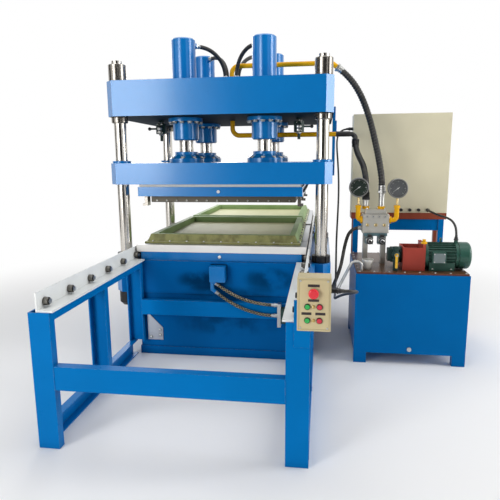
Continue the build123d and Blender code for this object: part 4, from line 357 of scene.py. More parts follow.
# Painted shade: a dark teal paint for the crown's downward faces
crown_underside_shade_paint = enamel("crown_underside_painted_shade", srgb(10, 40, 54), rough=0.7, gloss=0.05, coat=0)
tank_paint = enamel(
    "tank_blue_paint", srgb(0, 104, 172), rough=0.34, wear=0.25, coat=0.03, sheen=BLUE_SHEEN,
)
table_paint = enamel("table_blue_paint", srgb(0, 114, 186), wear=0.5, dirt_and_shade=0.6, coat=0.03, sheen=BLUE_SHEEN)
rail_paint = enamel("rail_white_paint", srgb(236, 238, 236), rough=0.36, dirt_and_shade=0.42, wear=0.6)
carriage_paint = enamel("carriage_white_paint", srgb(240, 237, 232), rough=0.4, dirt_and_shade=0.4)
pipe_paint = enamel("pipe_yellow_paint", srgb(232, 172, 16), rough=0.26, dirt_and_shade=0.35)
box_paint = enamel("box_beige_paint", srgb(208, 193, 152), rough=0.36, dirt_and_shade=0.3, wear=0.2)
cabinet_paint = enamel("cabinet_cream_paint", srgb(216, 209, 181), rough=0.42, peel=0.2, wear=0.15)
lid_paint = enamel("lid_brown_paint", srgb(118, 68, 52), rough=0.42, dirt_and_shade=0.9)
# Darker brown for the lid's upward faces
lid_top_paint = enamel("lid_top_dark_paint", srgb(86, 58, 36), rough=0.36, dirt_and_shade=0.9, gloss=0.3)
stand_paint = enamel("stand_red_paint", srgb(142, 70, 50), rough=0.4, dirt_and_shade=0.6)
bracket_paint = enamel("bracket_red_paint", srgb(164, 66, 54), rough=0.4, dirt_and_shade=0.6)
motor_paint = enamel("motor_green_paint", srgb(44, 84, 72), rough=0.3, dirt_and_shade=0.6, gloss=0.3)
solenoid_paint = enamel("solenoid_teal_paint", srgb(92, 124, 130), rough=0.34, dirt_and_shade=0.6, gloss=0.4)
valve_paint = enamel("valve_dark_green_paint", srgb(44, 66, 62), rough=0.34, dirt_and_shade=0.7)
tray_green = tray_paint()
chrome = bright_metal(
    "column_chrome", (0.66, 0.63, 0.58, 1), 0.17, grain=(1, 1, 0.02), stain=0.1, relief=0.02,
)
rod_chrome = bright_metal(
    "rod_chrome", (0.72, 0.70, 0.66, 1), 0.2, grain=(1, 1, 0.05), stain=0.15, relief=0.02,
)
nut_steel = bright_metal("nut_dark_steel", (0.30, 0.28, 0.25, 1), 0.26, grain=(1, 1, 4), stain=0.3)
plain_steel = bright_metal("bolt_steel", (0.60, 0.60, 0.58, 1), 0.34)
plate_steel = bright_metal("gusset_steel", (0.62, 0.63, 0.64, 1), 0.42, grain=(0.2, 1, 1), stain=0.4)
mould_steel = bright_metal("mould_plate_steel", (0.12, 0.11, 0.09, 1), 0.5, grain=(0.1, 1, 1), stain=0.5)
roller_steel = bright_metal("roller_steel", (0.20, 0.19, 0.17, 1), 0.32, stain=0.4)
block_steel = bright_metal("valve_block_steel", (0.66, 0.64, 0.58, 1), 0.4, grain=(0.2, 1, 1), stain=0.35)
breather_zinc = casting("breather_zinc", srgb(212, 210, 204), rough=0.4, metal=0.25, grain=0.1)
black_iron = casting("black_nut_iron", srgb(26, 26, 28), rough=0.42, metal=0.4, grain=0.2)
gear_iron = casting("switch_gear_black", srgb(34, 34, 36))
coil_black = casting("coil_black", srgb(30, 32, 34), rough=0.42, grain=0.15)
gauge_black = casting("gauge_case_black", srgb(20, 22, 22), rough=0.34, grain=0.1)
dial_grey = moulded("dial_grey", srgb(104, 105, 106), rough=0.45)
dial_dark = moulded("dial_dark", srgb(18, 40, 26), rough=0.45)
bezel_grey = bright_metal("gauge_bezel_steel", (0.34, 0.34, 0.33, 1), 0.35)
gasket_grey = casting("name_plate_grey", srgb(120, 132, 132), rough=0.4, metal=0.3, grain=0.1)
label_black = casting("label_black", srgb(48, 38, 40), rough=0.45, grain=0.05)
hose_rubber = rubber("hose_black_rubber", srgb(26, 25, 24))
guard_plastic = rubber("hose_guard_grey", srgb(62, 61, 57), rough=0.38)
cable_rubber = rubber("cable_black_rubber", srgb(22, 22, 24), rough=0.45)
braid_core = rubber("hose_braid_core", srgb(28, 27, 24))
braid_wire = bright_metal("hose_braid_wire", (0.66, 0.56, 0.34, 1), 0.36, stain=0.3)
brass = bright_metal("fitting_brass", (0.72, 0.56, 0.28, 1), 0.32)
dial_mark = moulded("dial_mark_white", srgb(236, 236, 230), rough=0.5)
ceramic = moulded("plug_white_ceramic", srgb(240, 240, 236), rough=0.3)
stop_red = moulded("stop_red_plastic", srgb(232, 24, 44))
button_red = moulded("button_red_plastic", srgb(210, 22, 56))
button_green = moulded("button_green_plastic", srgb(24, 176, 74))
lamp_amber = moulded("pilot_lamp_amber", srgb(196, 168, 96), rough=0.3)
lever_dip = moulded("lever_yellow_dip", srgb(234, 180, 20), rough=0.3)
board_white = fibre_board()
glass = dial_glass()


# Shapes

SHARP_ANGLE = 35


class Shape:
    """A mesh under construction. Places and sizes are in millimetres."""

    def __init__(self):
        self.mesh = bmesh.new()

    def point(self, place):
        return self.mesh.verts.new(place * MM)

    def turned(self, profile, centre, axis, sides=32, closed=False):
        """A turned solid, or a ring if closed; profile pairs a radius with a height along axis."""
        turn = axis.to_track_quat("Z", "Y").to_matrix()
        first = 0 if closed else 0.5
        angles = [2 * pi * (step + first) / sides for step in range(sides)]
        loops = []
        for radius, height in profile:
            spokes = [Vector((radius * cos(angle), radius * sin(angle), height)) for angle in angles]
            loops.append([self.point(centre + turn @ spoke) for spoke in spokes])
        self.skin(loops, closed)

    def ring(self, centre, axis, inner, outer, low, high, sides=40, bevel=1):
        """A flat ring with bevelled outer edges."""
        foot = ((inner, low), (outer - bevel, low), (outer, low + bevel))
        top = ((outer, high - bevel), (outer - bevel, high), (inner, high))
        self.turned(foot + top, centre, axis, sides, closed=True)

    def skin(self, loops, closed=False):
        """Skins a row of like loops; closed joins the last to the first, else the ends are capped."""
        pairs = list(zip(loops, loops[1:])) + ([(loops[-1], loops[0])] if closed else [])
        count = len(loops[0])
        for here, there in pairs:
            for step in range(count):
                after = (step + 1) % count
                self.mesh.faces.new((here[step], here[after], there[after], there[step]))
        if not closed:
            self.mesh.faces.new(tuple(reversed(loops[0])))
            self.mesh.faces.new(tuple(loops[-1]))

    def hexagon(self, centre, axis, across, height):
        """A hexagon with a chamfered top; across is measured over its flats."""
        corner = across / 3 ** 0.5
        chamfer = 0.12 * across
        profile = ((corner, 0), (corner, height - 0.5 * chamfer), (corner - chamfer, height))
        self.turned(profile, centre, axis, sides=6)

    def bolt(self, centre, axis, size):
        """A hexagon head on its washer; size is the thread's diameter."""
        washer = 0.18 * size
        self.turned(((1.1 * size, 0), (1.1 * size, washer), (0.4 * size, washer)), centre, axis, sides=24)
        self.hexagon(centre + axis * washer, axis, across=1.55 * size, height=0.65 * size)

    def cap_screw(self, centre, axis, size):
        """A socket-head screw; size is the thread's diameter."""
        head = 0.78 * size
        socket = ((0.52 * head, size), (0.5 * head, 0.4 * size))
        profile = ((head, 0), (head, 0.86 * size), (0.92 * head, size), *socket)
        self.turned(profile, centre, axis, sides=20)

    def slab(self, low, high, bevel):
        """A block between two corners with rounded edges."""
        made = bmesh.ops.create_cube(self.mesh, size=1)["verts"]
        size, middle = high - low, (high + low) / 2
        for vert in made:
            vert.co = Vector([vert.co[i] * size[i] + middle[i] for i in range(3)]) * MM
        edges = {edge for vert in made for edge in vert.link_edges}
        bmesh.ops.bevel(self.mesh, geom=list(edges), offset=bevel * MM, segments=2, affect="EDGES")

    def run(self, points, radii, sides):
        """A round bar through points, with a radius at each."""
        side = (points[1] - points[0]).orthogonal().normalized()
        loops = []
        for index, place in enumerate(points):
            before, after = points[max(index - 1, 0)], points[min(index + 1, len(points) - 1)]
            along = (after - before).normalized()
            side = (side - along * side.dot(along)).normalized()
            other = along.cross(side)
            loop = []
            for step in range(sides):
                angle = 2 * pi * step / sides
                loop.append(self.point(place + (side * cos(angle) + other * sin(angle)) * radii[index]))
            loops.append(loop)
        self.skin(loops)

    def weld(self, start, end):
        """A rippled weld bead between two places."""
        width = 8
        count = max(4, int((end - start).length / (0.45 * width)))
        points = [start.lerp(end, step / count) for step in range(count + 1)]
        radii = [width / 2 * (1 + 0.18 * (-1) ** step) for step in range(count + 1)]
        self.run(points, radii, sides=8)

    def piece(self, name, material, body="frame", slot=None):
        """Ends the shape as an object that rides on a body."""
        bmesh.ops.recalc_face_normals(self.mesh, faces=self.mesh.faces)
        data = bpy.data.meshes.new(name)
        self.mesh.to_mesh(data)
        self.mesh.free()
        for face in data.polygons:
            face.use_smooth = True
        data.set_sharp_from_angle(angle=radians(SHARP_ANGLE))
        data.materials.append(material)
        made = bpy.data.objects.new(name, data)
        bpy.context.scene.collection.objects.link(made)
        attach(made, body)
        return made

    def steel_piece(self, name, body="frame"):
        self.piece(name, plain_steel, body, "bright_steel")


def spread(start, end, count):
    """Evenly spaced values from start to end."""
    return [start + (end - start) * step / (count - 1) for step in range(count)]


# Camera, light and floor: places and sizes in metres, lens and sensor in millimetres

CAMERA_PLACE = Vector((0.8217, -4.6329, 1.6379))
CAMERA_RIGHT = Vector((0.98990, 0.14174, -0.00807))
CAMERA_DOWN = Vector((0.01756, -0.17865, -0.98379))
CAMERA_FORWARD = Vector((-0.14088, 0.97365, -0.17933))
CAMERA_LENS, CAMERA_SENSOR = 35.93, 36
WORLD_LEVEL = 0.35
FLOOR_NEAR, FLOOR_FAR = 2.2, 4.8
FLOOR_REACH = 60
FLOOR_TONES = (0.90, 0.90, 0.90, 1), (0.92, 0.92, 0.92, 1)
SOFT_BOXES = (
    ("key_left", (-3.5, -7.0, 2.6), (-0.2, -0.5, 1.3), 2.3, 3.6, 215),
    ("fill_right", (6.5, -1.3, 2.7), (0.2, -1.0, 1.1), 2.4, 3.6, 210),
    ("top_wide", (0.5, -0.5, 6.5), (0.4, -0.4, 0), 5.0, 6.0, 140),
    ("back_rim", (-2.5, 6.5, 4.0), (0.3, 0.5, 1.2), 3.5, 3.0, 150),
)
CLOTH_FOOT, CLOTH_TOP = -1, 9
DARK_CLOTHS = (
    ("studio_dark_front", (-1.6, -8.5), (6.0, -8.5)),
    ("studio_dark_left", (-8.0, -3.0), (-8.0, 0.5)),
    ("studio_dark_right", (8.5, -6.0), (8.5, -3.2)),
)


def set_camera():
    data = bpy.data.cameras.new("photo_camera")
    data.lens = CAMERA_LENS
    data.sensor_width = CAMERA_SENSOR
    camera = bpy.data.objects.new("photo_camera", data)
    turn = Matrix((CAMERA_RIGHT, -CAMERA_DOWN, -CAMERA_FORWARD)).transposed().to_4x4()
    camera.matrix_world = Matrix.Translation(CAMERA_PLACE) @ turn
    bpy.context.scene.collection.objects.link(camera)
    bpy.context.scene.camera = camera


def soft_box(name, place, target, width, height, power):
    """A rectangular studio lamp that looks at a target; power in watts."""
    data = bpy.data.lights.new(name, "AREA")
    data.shape = "RECTANGLE"
    data.size, data.size_y = width, height
    data.energy = power
    lamp = bpy.data.objects.new(name, data)
    lamp.location = place
    lamp.rotation_euler = (Vector(target) - Vector(place)).to_track_quat("-Z", "Y").to_euler()
    bpy.context.scene.collection.objects.link(lamp)


def set_world():
    """A white studio, full white where it is seen and dimmer as light on surfaces."""
    world = bpy.data.worlds.new("studio_white")
    bpy.context.scene.world = world
    world.use_nodes = True
    graph = Graph(world.node_tree)
    background = graph.tree.nodes["Background"]
    graph.feed(background.inputs["Color"], WHITE)
    graph.feed(background.inputs["Strength"], WORLD_LEVEL + graph.seen() * (1 - WORLD_LEVEL))


def set_light():
    bpy.context.scene.view_settings.view_transform = "Standard"
    set_world()
    for facts in SOFT_BOXES:
        soft_box(*facts)


def sheet(name, corners, material):
    """A flat studio sheet through corners."""
    data = bpy.data.meshes.new(name)
    data.from_pydata(corners, [], [tuple(range(len(corners)))])
    data.materials.append(material)
    made = bpy.data.objects.new(name, data)
    bpy.context.scene.collection.objects.link(made)
    return made


def set_floor():
    """A pale floor that keeps the shadow near the press and runs out to white."""
    finish = Finish("floor_white")
    finish.set(Base_Color=finish.mix(finish.noise(1.5, detail=2), *FLOOR_TONES), Roughness=0.8)
    away = finish.node("ShaderNodeVectorMath", {0: finish.place}, out="Value", operation="LENGTH")
    share = finish.seen() * away.above(FLOOR_NEAR, FLOOR_FAR)
    paint = Wire(finish, finish.shader.outputs[0])
    white = finish.node("ShaderNodeEmission", {"Color": WHITE, "Strength": 1})
    surface = finish.node("ShaderNodeMixShader", {0: share, 1: paint, 2: white})
    finish.feed(finish.tree.nodes["Material Output"].inputs["Surface"], surface)
    turns = ((-1, -1), (1, -1), (1, 1), (-1, 1))
    sheet("studio_floor", [(x * FLOOR_REACH, y * FLOOR_REACH, 0) for x, y in turns], finish.material)


def set_dark_side():
    """Dark studio cloths behind the camera and at the sides, seen in reflections only."""
    cloth = casting("studio_dark_cloth", srgb(14, 13, 12), rough=0.9)
    for name, start, end in DARK_CLOTHS:
        corners = [(*start, CLOTH_FOOT), (*end, CLOTH_FOOT), (*end, CLOTH_TOP), (*start, CLOTH_TOP)]
        made = sheet(name, corners, cloth)
        for ray in ("camera", "diffuse", "transmission", "shadow"):
            setattr(made, "visible_" + ray, False)


# Hoses and cables: routes in millimetres, then diameters in millimetres with lengths in metres

ROUTES = {
    "pressure_hose": (
        (932, 0, 2422), (968, 0, 2395), (1029, -7, 2340), (1084, -27, 2271), (1135, -61, 2182),
        (1180, -104, 2072), (1219, -146, 1949), (1253, -188, 1813), (1279, -233, 1686),
        (1301, -287, 1564), (1313, -320, 1472), (1316, -330, 1396), (1316, -330, 1351),
    ),
    "return_hose": (
        (1105, -45, 1791), (1105, -69, 1759), (1112, -111, 1706), (1128, -158, 1660), (1147, -206, 1618),
        (1164, -252, 1576), (1176, -284, 1524), (1184, -307, 1466), (1187, -322, 1406), (1188, -330, 1345),
        (1188, -330, 1295),
    ),
    "shuttle_hose_upper": (
        (-18, -788, 652), (10, -788, 631), (60, -791, 599), (116, -799, 569), (176, -808, 543),
        (234, -812, 523), (299, -813, 507), (370, -811, 495), (431, -811, 491), (467, -811, 491),
    ),
    "shuttle_hose_lower": (
        (-18, -788, 580), (10, -788, 559), (61, -791, 523), (120, -800, 489), (180, -808, 461),
        (239, -812, 440), (305, -812, 421), (374, -811, 408), (431, -811, 404), (467, -811, 404),
    ),
    "feed_hose": (
        (1160, -372, 1060), (1122, -372, 1060), (1084, -374, 1046), (1055, -379, 1018), (1038, -388, 979),
        (1024, -404, 930), (1012, -432, 878), (1001, -471, 823), (985, -527, 757), (962, -583, 700),
        (937, -639, 648), (912, -692, 602), (885, -741, 560), (856, -781, 525), (815, -811, 496),
        (765, -826, 472), (712, -830, 456), (668, -830, 447), (636, -830, 445), (609, -830, 445),
    ),
    "pendant_cable": (
        (1074, 300, 1910), (1046, 300, 1910), (1001, 292, 1900), (970, 267, 1870), (955, 234, 1829),
        (950, 193, 1777), (953, 132, 1696), (962, 47, 1580), (968, -39, 1446), (968, -121, 1306),
        (962, -203, 1163), (955, -285, 1033), (950, -371, 920), (948, -460, 826), (946, -551, 753),
        (943, -649, 701), (939, -756, 670), (934, -877, 656), (929, -1010, 657), (924, -1153, 674),
        (919, -1303, 704), (918, -1455, 744), (922, -1605, 792), (935, -1752, 843), (958, -1896, 894),
        (988, -2026, 937), (1002, -2109, 962), (1004, -2164, 979), (995, -2210, 993), (967, -2243, 1003),
        (928, -2254, 1005.8), (900, -2254, 1005.8),
    ),
    "motor_cable": (
        (1794, 174, 1158), (1794, 136, 1158), (1799, 69, 1156), (1812, -3, 1150), (1829, -79, 1144),
        (1845, -154, 1141), (1857, -231, 1141), (1868, -307, 1138), (1876, -376, 1130), (1882, -432, 1114),
        (1886, -470, 1091), (1888, -492, 1062), (1889, -500, 1024), (1889, -500, 986),
    ),
}
CORD_SIZES = {
    "pressure_hose": (50, 1.225), "return_hose": (50, 0.604), "shuttle_hose_upper": (24, 0.522),
    "shuttle_hose_lower": (24, 0.527), "feed_hose": (28, 1.073), "pendant_cable": (16, 3.36),
    "motor_cable": (18, 0.773), "cap_hoses": (34, 0.469),
}
CAP_HOSE_START, CAP_HOSE_END = (50, 50, 2325), (260.1, 289.3, 2580)
CAP_HOSE_SHARES = ((0, 0), (0, 0.22), (0.06, 0.48), (0.20, 0.72), (0.42, 0.90), (0.70, 1), (1, 1))
WIND_STEPS = 16


def spline_of(name, route):
    """A curve whose NURBS control points are the route's points."""
    curve = bpy.data.curves.new(name, "CURVE")
    curve.dimensions = "3D"
    curve.resolution_u = 10
    spline = curve.splines.new("NURBS")
    spline.points.add(len(route) - 1)
    for point, place in zip(spline.points, route):
        point.co = (*(at(*place) * MM), 1)
    spline.order_u = 3
    spline.use_endpoint_u = True
    made = bpy.data.objects.new(name, curve)
    bpy.context.scene.collection.objects.link(made)
    return made


def centreline(piece):
    """The points along a bare spline, in millimetres."""
    line = bpy.data.meshes.new_from_object(piece)
    points = [vert.co / MM for vert in line.vertices]
    bpy.data.meshes.remove(line)
    return points


def ferrule(name, place, along, diameter, material=plain_steel):
    """A crimped sleeve and swivel nut on a hose end; along points into the hose."""
    shape = Shape()
    sleeve, nut = 0.59 * diameter, 0.66 * diameter
    groove, length = 0.9 * sleeve, 1.25 * diameter
    crimps = 4
    pitch = length / crimps
    profile = [(groove, 0)]
    for number in range(crimps):
        low, high = pitch * (number + 0.1), pitch * (number + 0.7)
        profile += [(sleeve, low), (sleeve, high)]
        profile += [(groove, high + 0.08 * pitch), (groove, high + 0.2 * pitch)]
    profile += [(groove, length), (0.8 * sleeve, length)]
    shape.turned(profile, place, along)
    shape.hexagon(place, along, across=1.9 * nut, height=0.42 * diameter)
    return shape.piece(name, material)


def black_ferrule(name, place, along, diameter):
    return ferrule(name, place, along, diameter, black_iron)


def gland_nut(name, place, along, diameter):
    """A domed cable gland round a cable; along points into the cable."""
    shape = Shape()
    shape.hexagon(place, along, across=1.75 * diameter, height=0.6 * diameter)
    shares = ((0.82, 0.5), (0.8, 1), (0.62, 1.5), (0.53, 2.4), (0.5, 2.4))
    shape.turned([(radius * diameter, height * diameter) for radius, height in shares], place, along)
    return shape.piece(name, cable_rubber, slot="hose_black")


def wound(points, radius, pitch, phase=0, way=1):
    """Points of a helix round a hose's centreline."""
    side = (points[1] - points[0]).orthogonal().normalized()
    travelled = 0
    wind = []
    for before, place in zip(points, points[1:]):
        run = place - before
        along = run.normalized()
        side = (side - along * side.dot(along)).normalized()
        steps = max(1, int(run.length / (pitch / WIND_STEPS)))
        for step in range(steps):
            angle = phase + way * 2 * pi * (travelled + run.length * step / steps) / pitch
            out = side * cos(angle) + along.cross(side) * sin(angle)
            wind.append(before + run * (step / steps) + out * radius)
        travelled += run.length
    return wind


def spiral_guard(name, line, diameter):
    """A spiral of plastic strip round a hose, short of its ends."""
    bare_points, lift, strip_radius = 6, 1.2, 3.4
    shape = Shape()
    wind = wound(line[bare_points:-bare_points], radius=diameter / 2 + lift, pitch=26)
    shape.run(wind, [strip_radius] * len(wind), sides=6)
    return shape.piece(name + "_guard", guard_plastic)


def wire_braid(name, line, diameter):
    """Wires wound both ways round a hose, short of its ends."""
    bare_points, lift, wire_radius, strands = 4, 0.2, 1.2, 3
    covered = line[bare_points:-bare_points]
    shape = Shape()
    for way in (-1, 1):
        for strand in range(strands):
            phase = 2 * pi * strand / strands
            wind = wound(covered, radius=diameter / 2 + lift, pitch=74, phase=phase, way=way)
            shape.run(wind, [wire_radius] * len(wind), sides=5)
    return shape.piece(name + "_braid", braid_wire)


def lay(
    name, material=hose_rubber, route=None, node=None, ends=ferrule, cover=None,
):
    """A hose or cable along its route, with its end fittings and any cover."""
    route, node = route or ROUTES[name], node or name
    diameter, length = CORD_SIZES[node]
    piece = spline_of(name + "_tube", route)
    line = centreline(piece)
    piece.data.bevel_depth = diameter / 2 * MM
    piece.data.bevel_resolution = 6
    piece.data.use_fill_caps = True
    piece.data.materials.append(material)
    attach(piece, "frame")
    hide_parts(node)
    places = [at(*place) for place in route]
    fittings = [
        ends(name + "_first_end", places[0], (places[1] - places[0]).normalized(), diameter),
        ends(name + "_last_end", places[-1], (places[-2] - places[-1]).normalized(), diameter),
    ]
    if cover:
        fittings.append(cover(name, line, diameter))


def cap_hose_route(x, y):
    """The route from the manifold to the cylinder cap at a corner."""
    route = []
    for across, up in CAP_HOSE_SHARES:
        ends = zip(CAP_HOSE_START, CAP_HOSE_END, (across, across, up))
        spot = [start + (end - start) * share for start, end, share in ends]
        route.append((x * spot[0], y * spot[1], spot[2]))
    return route


def lay_hoses():
    lay("pressure_hose", cover=spiral_guard)
    lay("return_hose", ends=black_ferrule)
    for name in ("shuttle_hose_upper", "shuttle_hose_lower"):
        lay(name, braid_core, cover=wire_braid)
    lay("feed_hose")
    for name in ("pendant_cable", "motor_cable"):
        lay(name, cable_rubber, ends=gland_nut)
    for number, corner in enumerate(CORNERS, 1):
        lay(f"cap_hose_{number}", route=cap_hose_route(*corner), node="cap_hoses")


# Fasteners and small pieces of the press, in millimetres

CYLINDER_X, CYLINDER_Y = 338, 378
NOSE_FLANGE_Z, ROD_POCKET_Z = 1951, 1646
HOT_PLATES = (("upper", "platen"), ("lower", "frame"))
TRAY_LEDGE_Z = 961
MOULD_SCREW_X, MOULD_SCREW_Y, MOULD_SCREW_Z = 560, 550, 1300
CROWN_VALVE_X, CROWN_VALVE_Y, CROWN_VALVE_Z = 615, -190, 1911
RETURN_PIPE_Z, RETURN_PIPE_RADIUS = 1851, 21
SLEEVE_START, SLEEVE_END, SLEEVE_RADIUS = 936, 1058, 23.5
GUSSET_BOLTS = (at(-520, -728, 170), at(-520, -728, 215), at(-600, -728, 150))
CROSS_BAR_END, CROSS_BAR_FOOT, CROSS_BAR_TOP = 649, 365, 501
STRINGER_TOP, POST_Y, POST_WIDTH = 128, 1478, 53
BOX_FACE, BOX_LEFT, BOX_RIGHT, BOX_FOOT, BOX_TOP, BOX_MIDDLE = -2308, 712, 874, 815, 1080, 790.6
LABEL_BARS = ((790.6, 1042, 56, 13), (790.6, 969, 52, 12), (757.4, 903, 48, 13), (823.7, 903, 48, 13))
LAMP_HEIGHTS = (937.7, 869.6)

# Profiles of small turned pieces, as pairs of a radius and a height
HEAT_PLUG = ((13, 0), (13, 3), (10, 5), (10, 16), (8, 18), (4, 18), (4, 12))
HEATER_CAP = ((14, 0), (14, 4), (9, 6), (9, 12), (6, 12))
VALVE_COVER = ((22, 0), (22, 8), (17, 12), (17, 26), (10, 30))
LEVER_KNOB = ((6, 0), (13, 5), (16, 14), (13, 23), (6, 28))
PILOT_LAMP = ((9, 0), (9, 2), (7, 3), (7, 6), (4, 8.5), (1, 9))
BOX_SCREW = ((5, 0), (5, 1.6), (3.6, 2.6), (1, 2.6))
TERMINAL_SCREW = ((4.5, 0), (4.5, 2), (3, 3), (1, 3))
EYE_FOOT = ((14, 0), (14, 5), (9, 8), (9, 20))
BLOCK_PLUG = ((13, 0), (13, 8), (10, 10), (6, 10), (6, 6))
COIL_NUT = ((17, 0), (17, 8), (13, 12), (5, 12))
DIAL_PLATE = ((71, 0), (71, 1), (60, 1.2))
NEEDLE_HUB = ((6, 1.4), (6, 3.2), (4, 4))
DIAL_PANE = ((71, 4.6), (71, 5.4), (50, 6))
RIVET = ((5, 0), (4.4, 1.6), (2, 2.4))
HANDLE_SPINDLE = ((15, 0), (15, 6), (12, 8))


def round_places(x, y, z, radius, count):
    """Places spread round an upright axis."""
    steps = [2 * pi * step / count for step in range(count)]
    return [at(x + radius * cos(angle), y + radius * sin(angle), z) for angle in steps]


def rim_places(low, high, across, along, edge):
    """Places on all four sides of a rim, an edge's width in from it."""
    front_and_back = [(x, y) for x in across for y in (low.y + edge, high.y - edge)]
    return front_and_back + [(x, y) for y in along for x in (low.x + edge, high.x - edge)]


def cylinder_bolts():
    """Bolts of the cylinders' nose flanges, and in the pockets of the rod flanges."""
    flange, pocket = Shape(), Shape()
    for x, y in CORNERS:
        centre = (x * CYLINDER_X, y * CYLINDER_Y)
        for place in round_places(*centre, NOSE_FLANGE_Z, radius=127, count=12):
            flange.bolt(place, DOWN, size=20)
        for place in round_places(*centre, ROD_POCKET_Z, radius=122, count=8):
            pocket.bolt(place, UP, size=20)
    flange.steel_piece("nose_flange_bolts")
    pocket.steel_piece("rod_flange_bolts", "platen")


def heat_plugs():
    """White thermocouple plugs in the middle of the hot plates' front edges."""
    for row, body in HOT_PLATES:
        low, high = box_of(f"{row}_hot_plate")
        plug = Shape()
        plug.turned(HEAT_PLUG, at(0, low.y, (low.z + high.z) / 2), FRONT)
        plug.piece(f"{row}_heat_plug", ceramic, body)


def heater_caps():
    """Capped heater bores along both sides of the hot plates."""
    heaters = 9
    for row, body in HOT_PLATES:
        low, high = box_of(f"{row}_hot_plate")
        middle = (low.z + high.z) / 2
        caps = Shape()
        for y in spread(low.y, high.y, heaters + 2)[1:-1]:
            caps.turned(HEATER_CAP, at(low.x, y, middle), LEFT, sides=20)
            caps.turned(HEATER_CAP, at(high.x, y, middle), RIGHT, sides=20)
        caps.piece(f"{row}_heater_caps", black_iron, body, "black_steel")


def tray_screws():
    """Small screws on the ledge round the mould trays."""
    low, high = box_of("mould_trays")
    front_inset, side_inset, edge = 70, 60, 10
    across = spread(low.x + front_inset, high.x - front_inset, count=9)
    along = spread(low.y + side_inset, high.y - side_inset, count=16)
    shape = Shape()
    for x, y in rim_places(low, high, across, along, edge):
        shape.cap_screw(at(x, y, TRAY_LEDGE_Z), UP, size=9)
    shape.steel_piece("tray_screws", "shuttle")


def mould_screws():
    """Screws along the lower edge of the mould plate's front and back."""
    shape = Shape()
    for x in spread(-MOULD_SCREW_X, MOULD_SCREW_X, count=14):
        shape.cap_screw(at(x, -MOULD_SCREW_Y, MOULD_SCREW_Z), FRONT, size=9)
        shape.cap_screw(at(x, MOULD_SCREW_Y, MOULD_SCREW_Z), BACK, size=9)
    shape.steel_piece("mould_screws", "platen")


def crown_valve_fittings():
    """Cover screws, ports and lever knobs of the two valves under the crown."""
    steel, knobs = Shape(), Shape()
    half_depth, half_height, port_drop, knob_reach = 43, 46, 29, 96
    screw_x, screw_z = 18, 36
    for side, away in ((-1, LEFT), (1, RIGHT)):
        middle = at(side * CROWN_VALVE_X, CROWN_VALVE_Y, CROWN_VALVE_Z)
        face = middle + FRONT * half_depth
        steel.turned(VALVE_COVER, face, FRONT, sides=28)
        steel.hexagon(middle + DOWN * half_height, DOWN, across=40, height=14)
        steel.hexagon(middle + UP * half_height, UP, across=54, height=12)
        steel.hexagon(face + DOWN * port_drop, FRONT, across=30, height=18)
        for across, up in CORNERS:
            steel.cap_screw(face + at(across * screw_x, 0, up * screw_z), FRONT, size=7)
        knobs.turned(LEVER_KNOB, middle + away * knob_reach, away, sides=24)
    steel.steel_piece("crown_valve_fittings")
    knobs.piece("crown_valve_knobs", coil_black, slot="black_steel")


def return_sleeve():
    """A black rubber sleeve over the end of the return pipe."""
    shape = Shape()
    start, length = at(SLEEVE_START, 0, RETURN_PIPE_Z), SLEEVE_END - SLEEVE_START
    shape.ring(start, RIGHT, inner=RETURN_PIPE_RADIUS, outer=SLEEVE_RADIUS, low=0, high=length)
    shape.piece("return_pipe_sleeve", hose_rubber, slot="hose_black")


def gusset_bolts():
    shape = Shape()
    for place in GUSSET_BOLTS:
        shape.bolt(place, FRONT, size=12)
    shape.steel_piece("gusset_bolts")


def table_welds():
    """Weld beads where the tables' members meet."""
    low, high = box_of("front_table")
    leg_flange, leg_foot, bar_sink, leg_sink = 54, 20, 1, 2
    shape = Shape()
    for side in (-1, 1):
        x, y = side * CROSS_BAR_END, low.y + bar_sink
        shape.weld(at(x, y, CROSS_BAR_FOOT), at(x, y, CROSS_BAR_TOP))
        x = side * high.x
        for mirror in (-1, 1):
            y = mirror * POST_Y
            shape.weld(at(x, y, STRINGER_TOP), at(x, y + mirror * POST_WIDTH, STRINGER_TOP))
        x, y = side * (high.x - leg_sink), low.y + leg_flange
        shape.weld(at(x, y, STRINGER_TOP), at(x, y, leg_foot))
    shape.piece("table_welds", table_paint, slot="blue_paint")


def box_fittings():
    """Label bars, pilot lamps, cover rim and screws on the control box."""
    bars, lamps, rim, screws = Shape(), Shape(), Shape(), Shape()
    bar_rise, bar_sink, rim_rise, rim_sink = 1.2, 0.4, 1.6, 0.2
    for x, z, width, height in LABEL_BARS:
        half = at(width / 2, 0, height / 2)
        place = at(x, BOX_FACE, z)
        bars.slab(place - half + FRONT * bar_rise, place + half + BACK * bar_sink, bevel=0.5)
    bars.piece("box_label_bars", label_black)
    for z in LAMP_HEIGHTS:
        lamps.turned(PILOT_LAMP, at(BOX_MIDDLE, BOX_FACE, z), FRONT, sides=24)
    lamps.piece("box_pilot_lamps", lamp_amber)
    inset, bar = 7, 3
    left, right, foot, top = BOX_LEFT + inset, BOX_RIGHT - inset, BOX_FOOT + inset, BOX_TOP - inset
    for start_x, end_x, start_z, end_z in (
        (left, left + bar, foot, top), (right - bar, right, foot, top),
        (left, right, top - bar, top), (left, right, foot, foot + bar),
    ):
        start, end = at(start_x, BOX_FACE - rim_rise, start_z), at(end_x, BOX_FACE + rim_sink, end_z)
        rim.slab(start, end, bevel=0.6)
    rim.piece("box_cover_rim", box_paint, slot="box_beige")
    inset = 16
    for x in (BOX_LEFT + inset, BOX_RIGHT - inset):
        for z in (BOX_FOOT + inset, BOX_TOP - inset):
            screws.turned(BOX_SCREW, at(x, BOX_FACE, z), FRONT, sides=16)
    screws.steel_piece("box_cover_screws")


# Fittings of the power unit and the cabinet, in millimetres

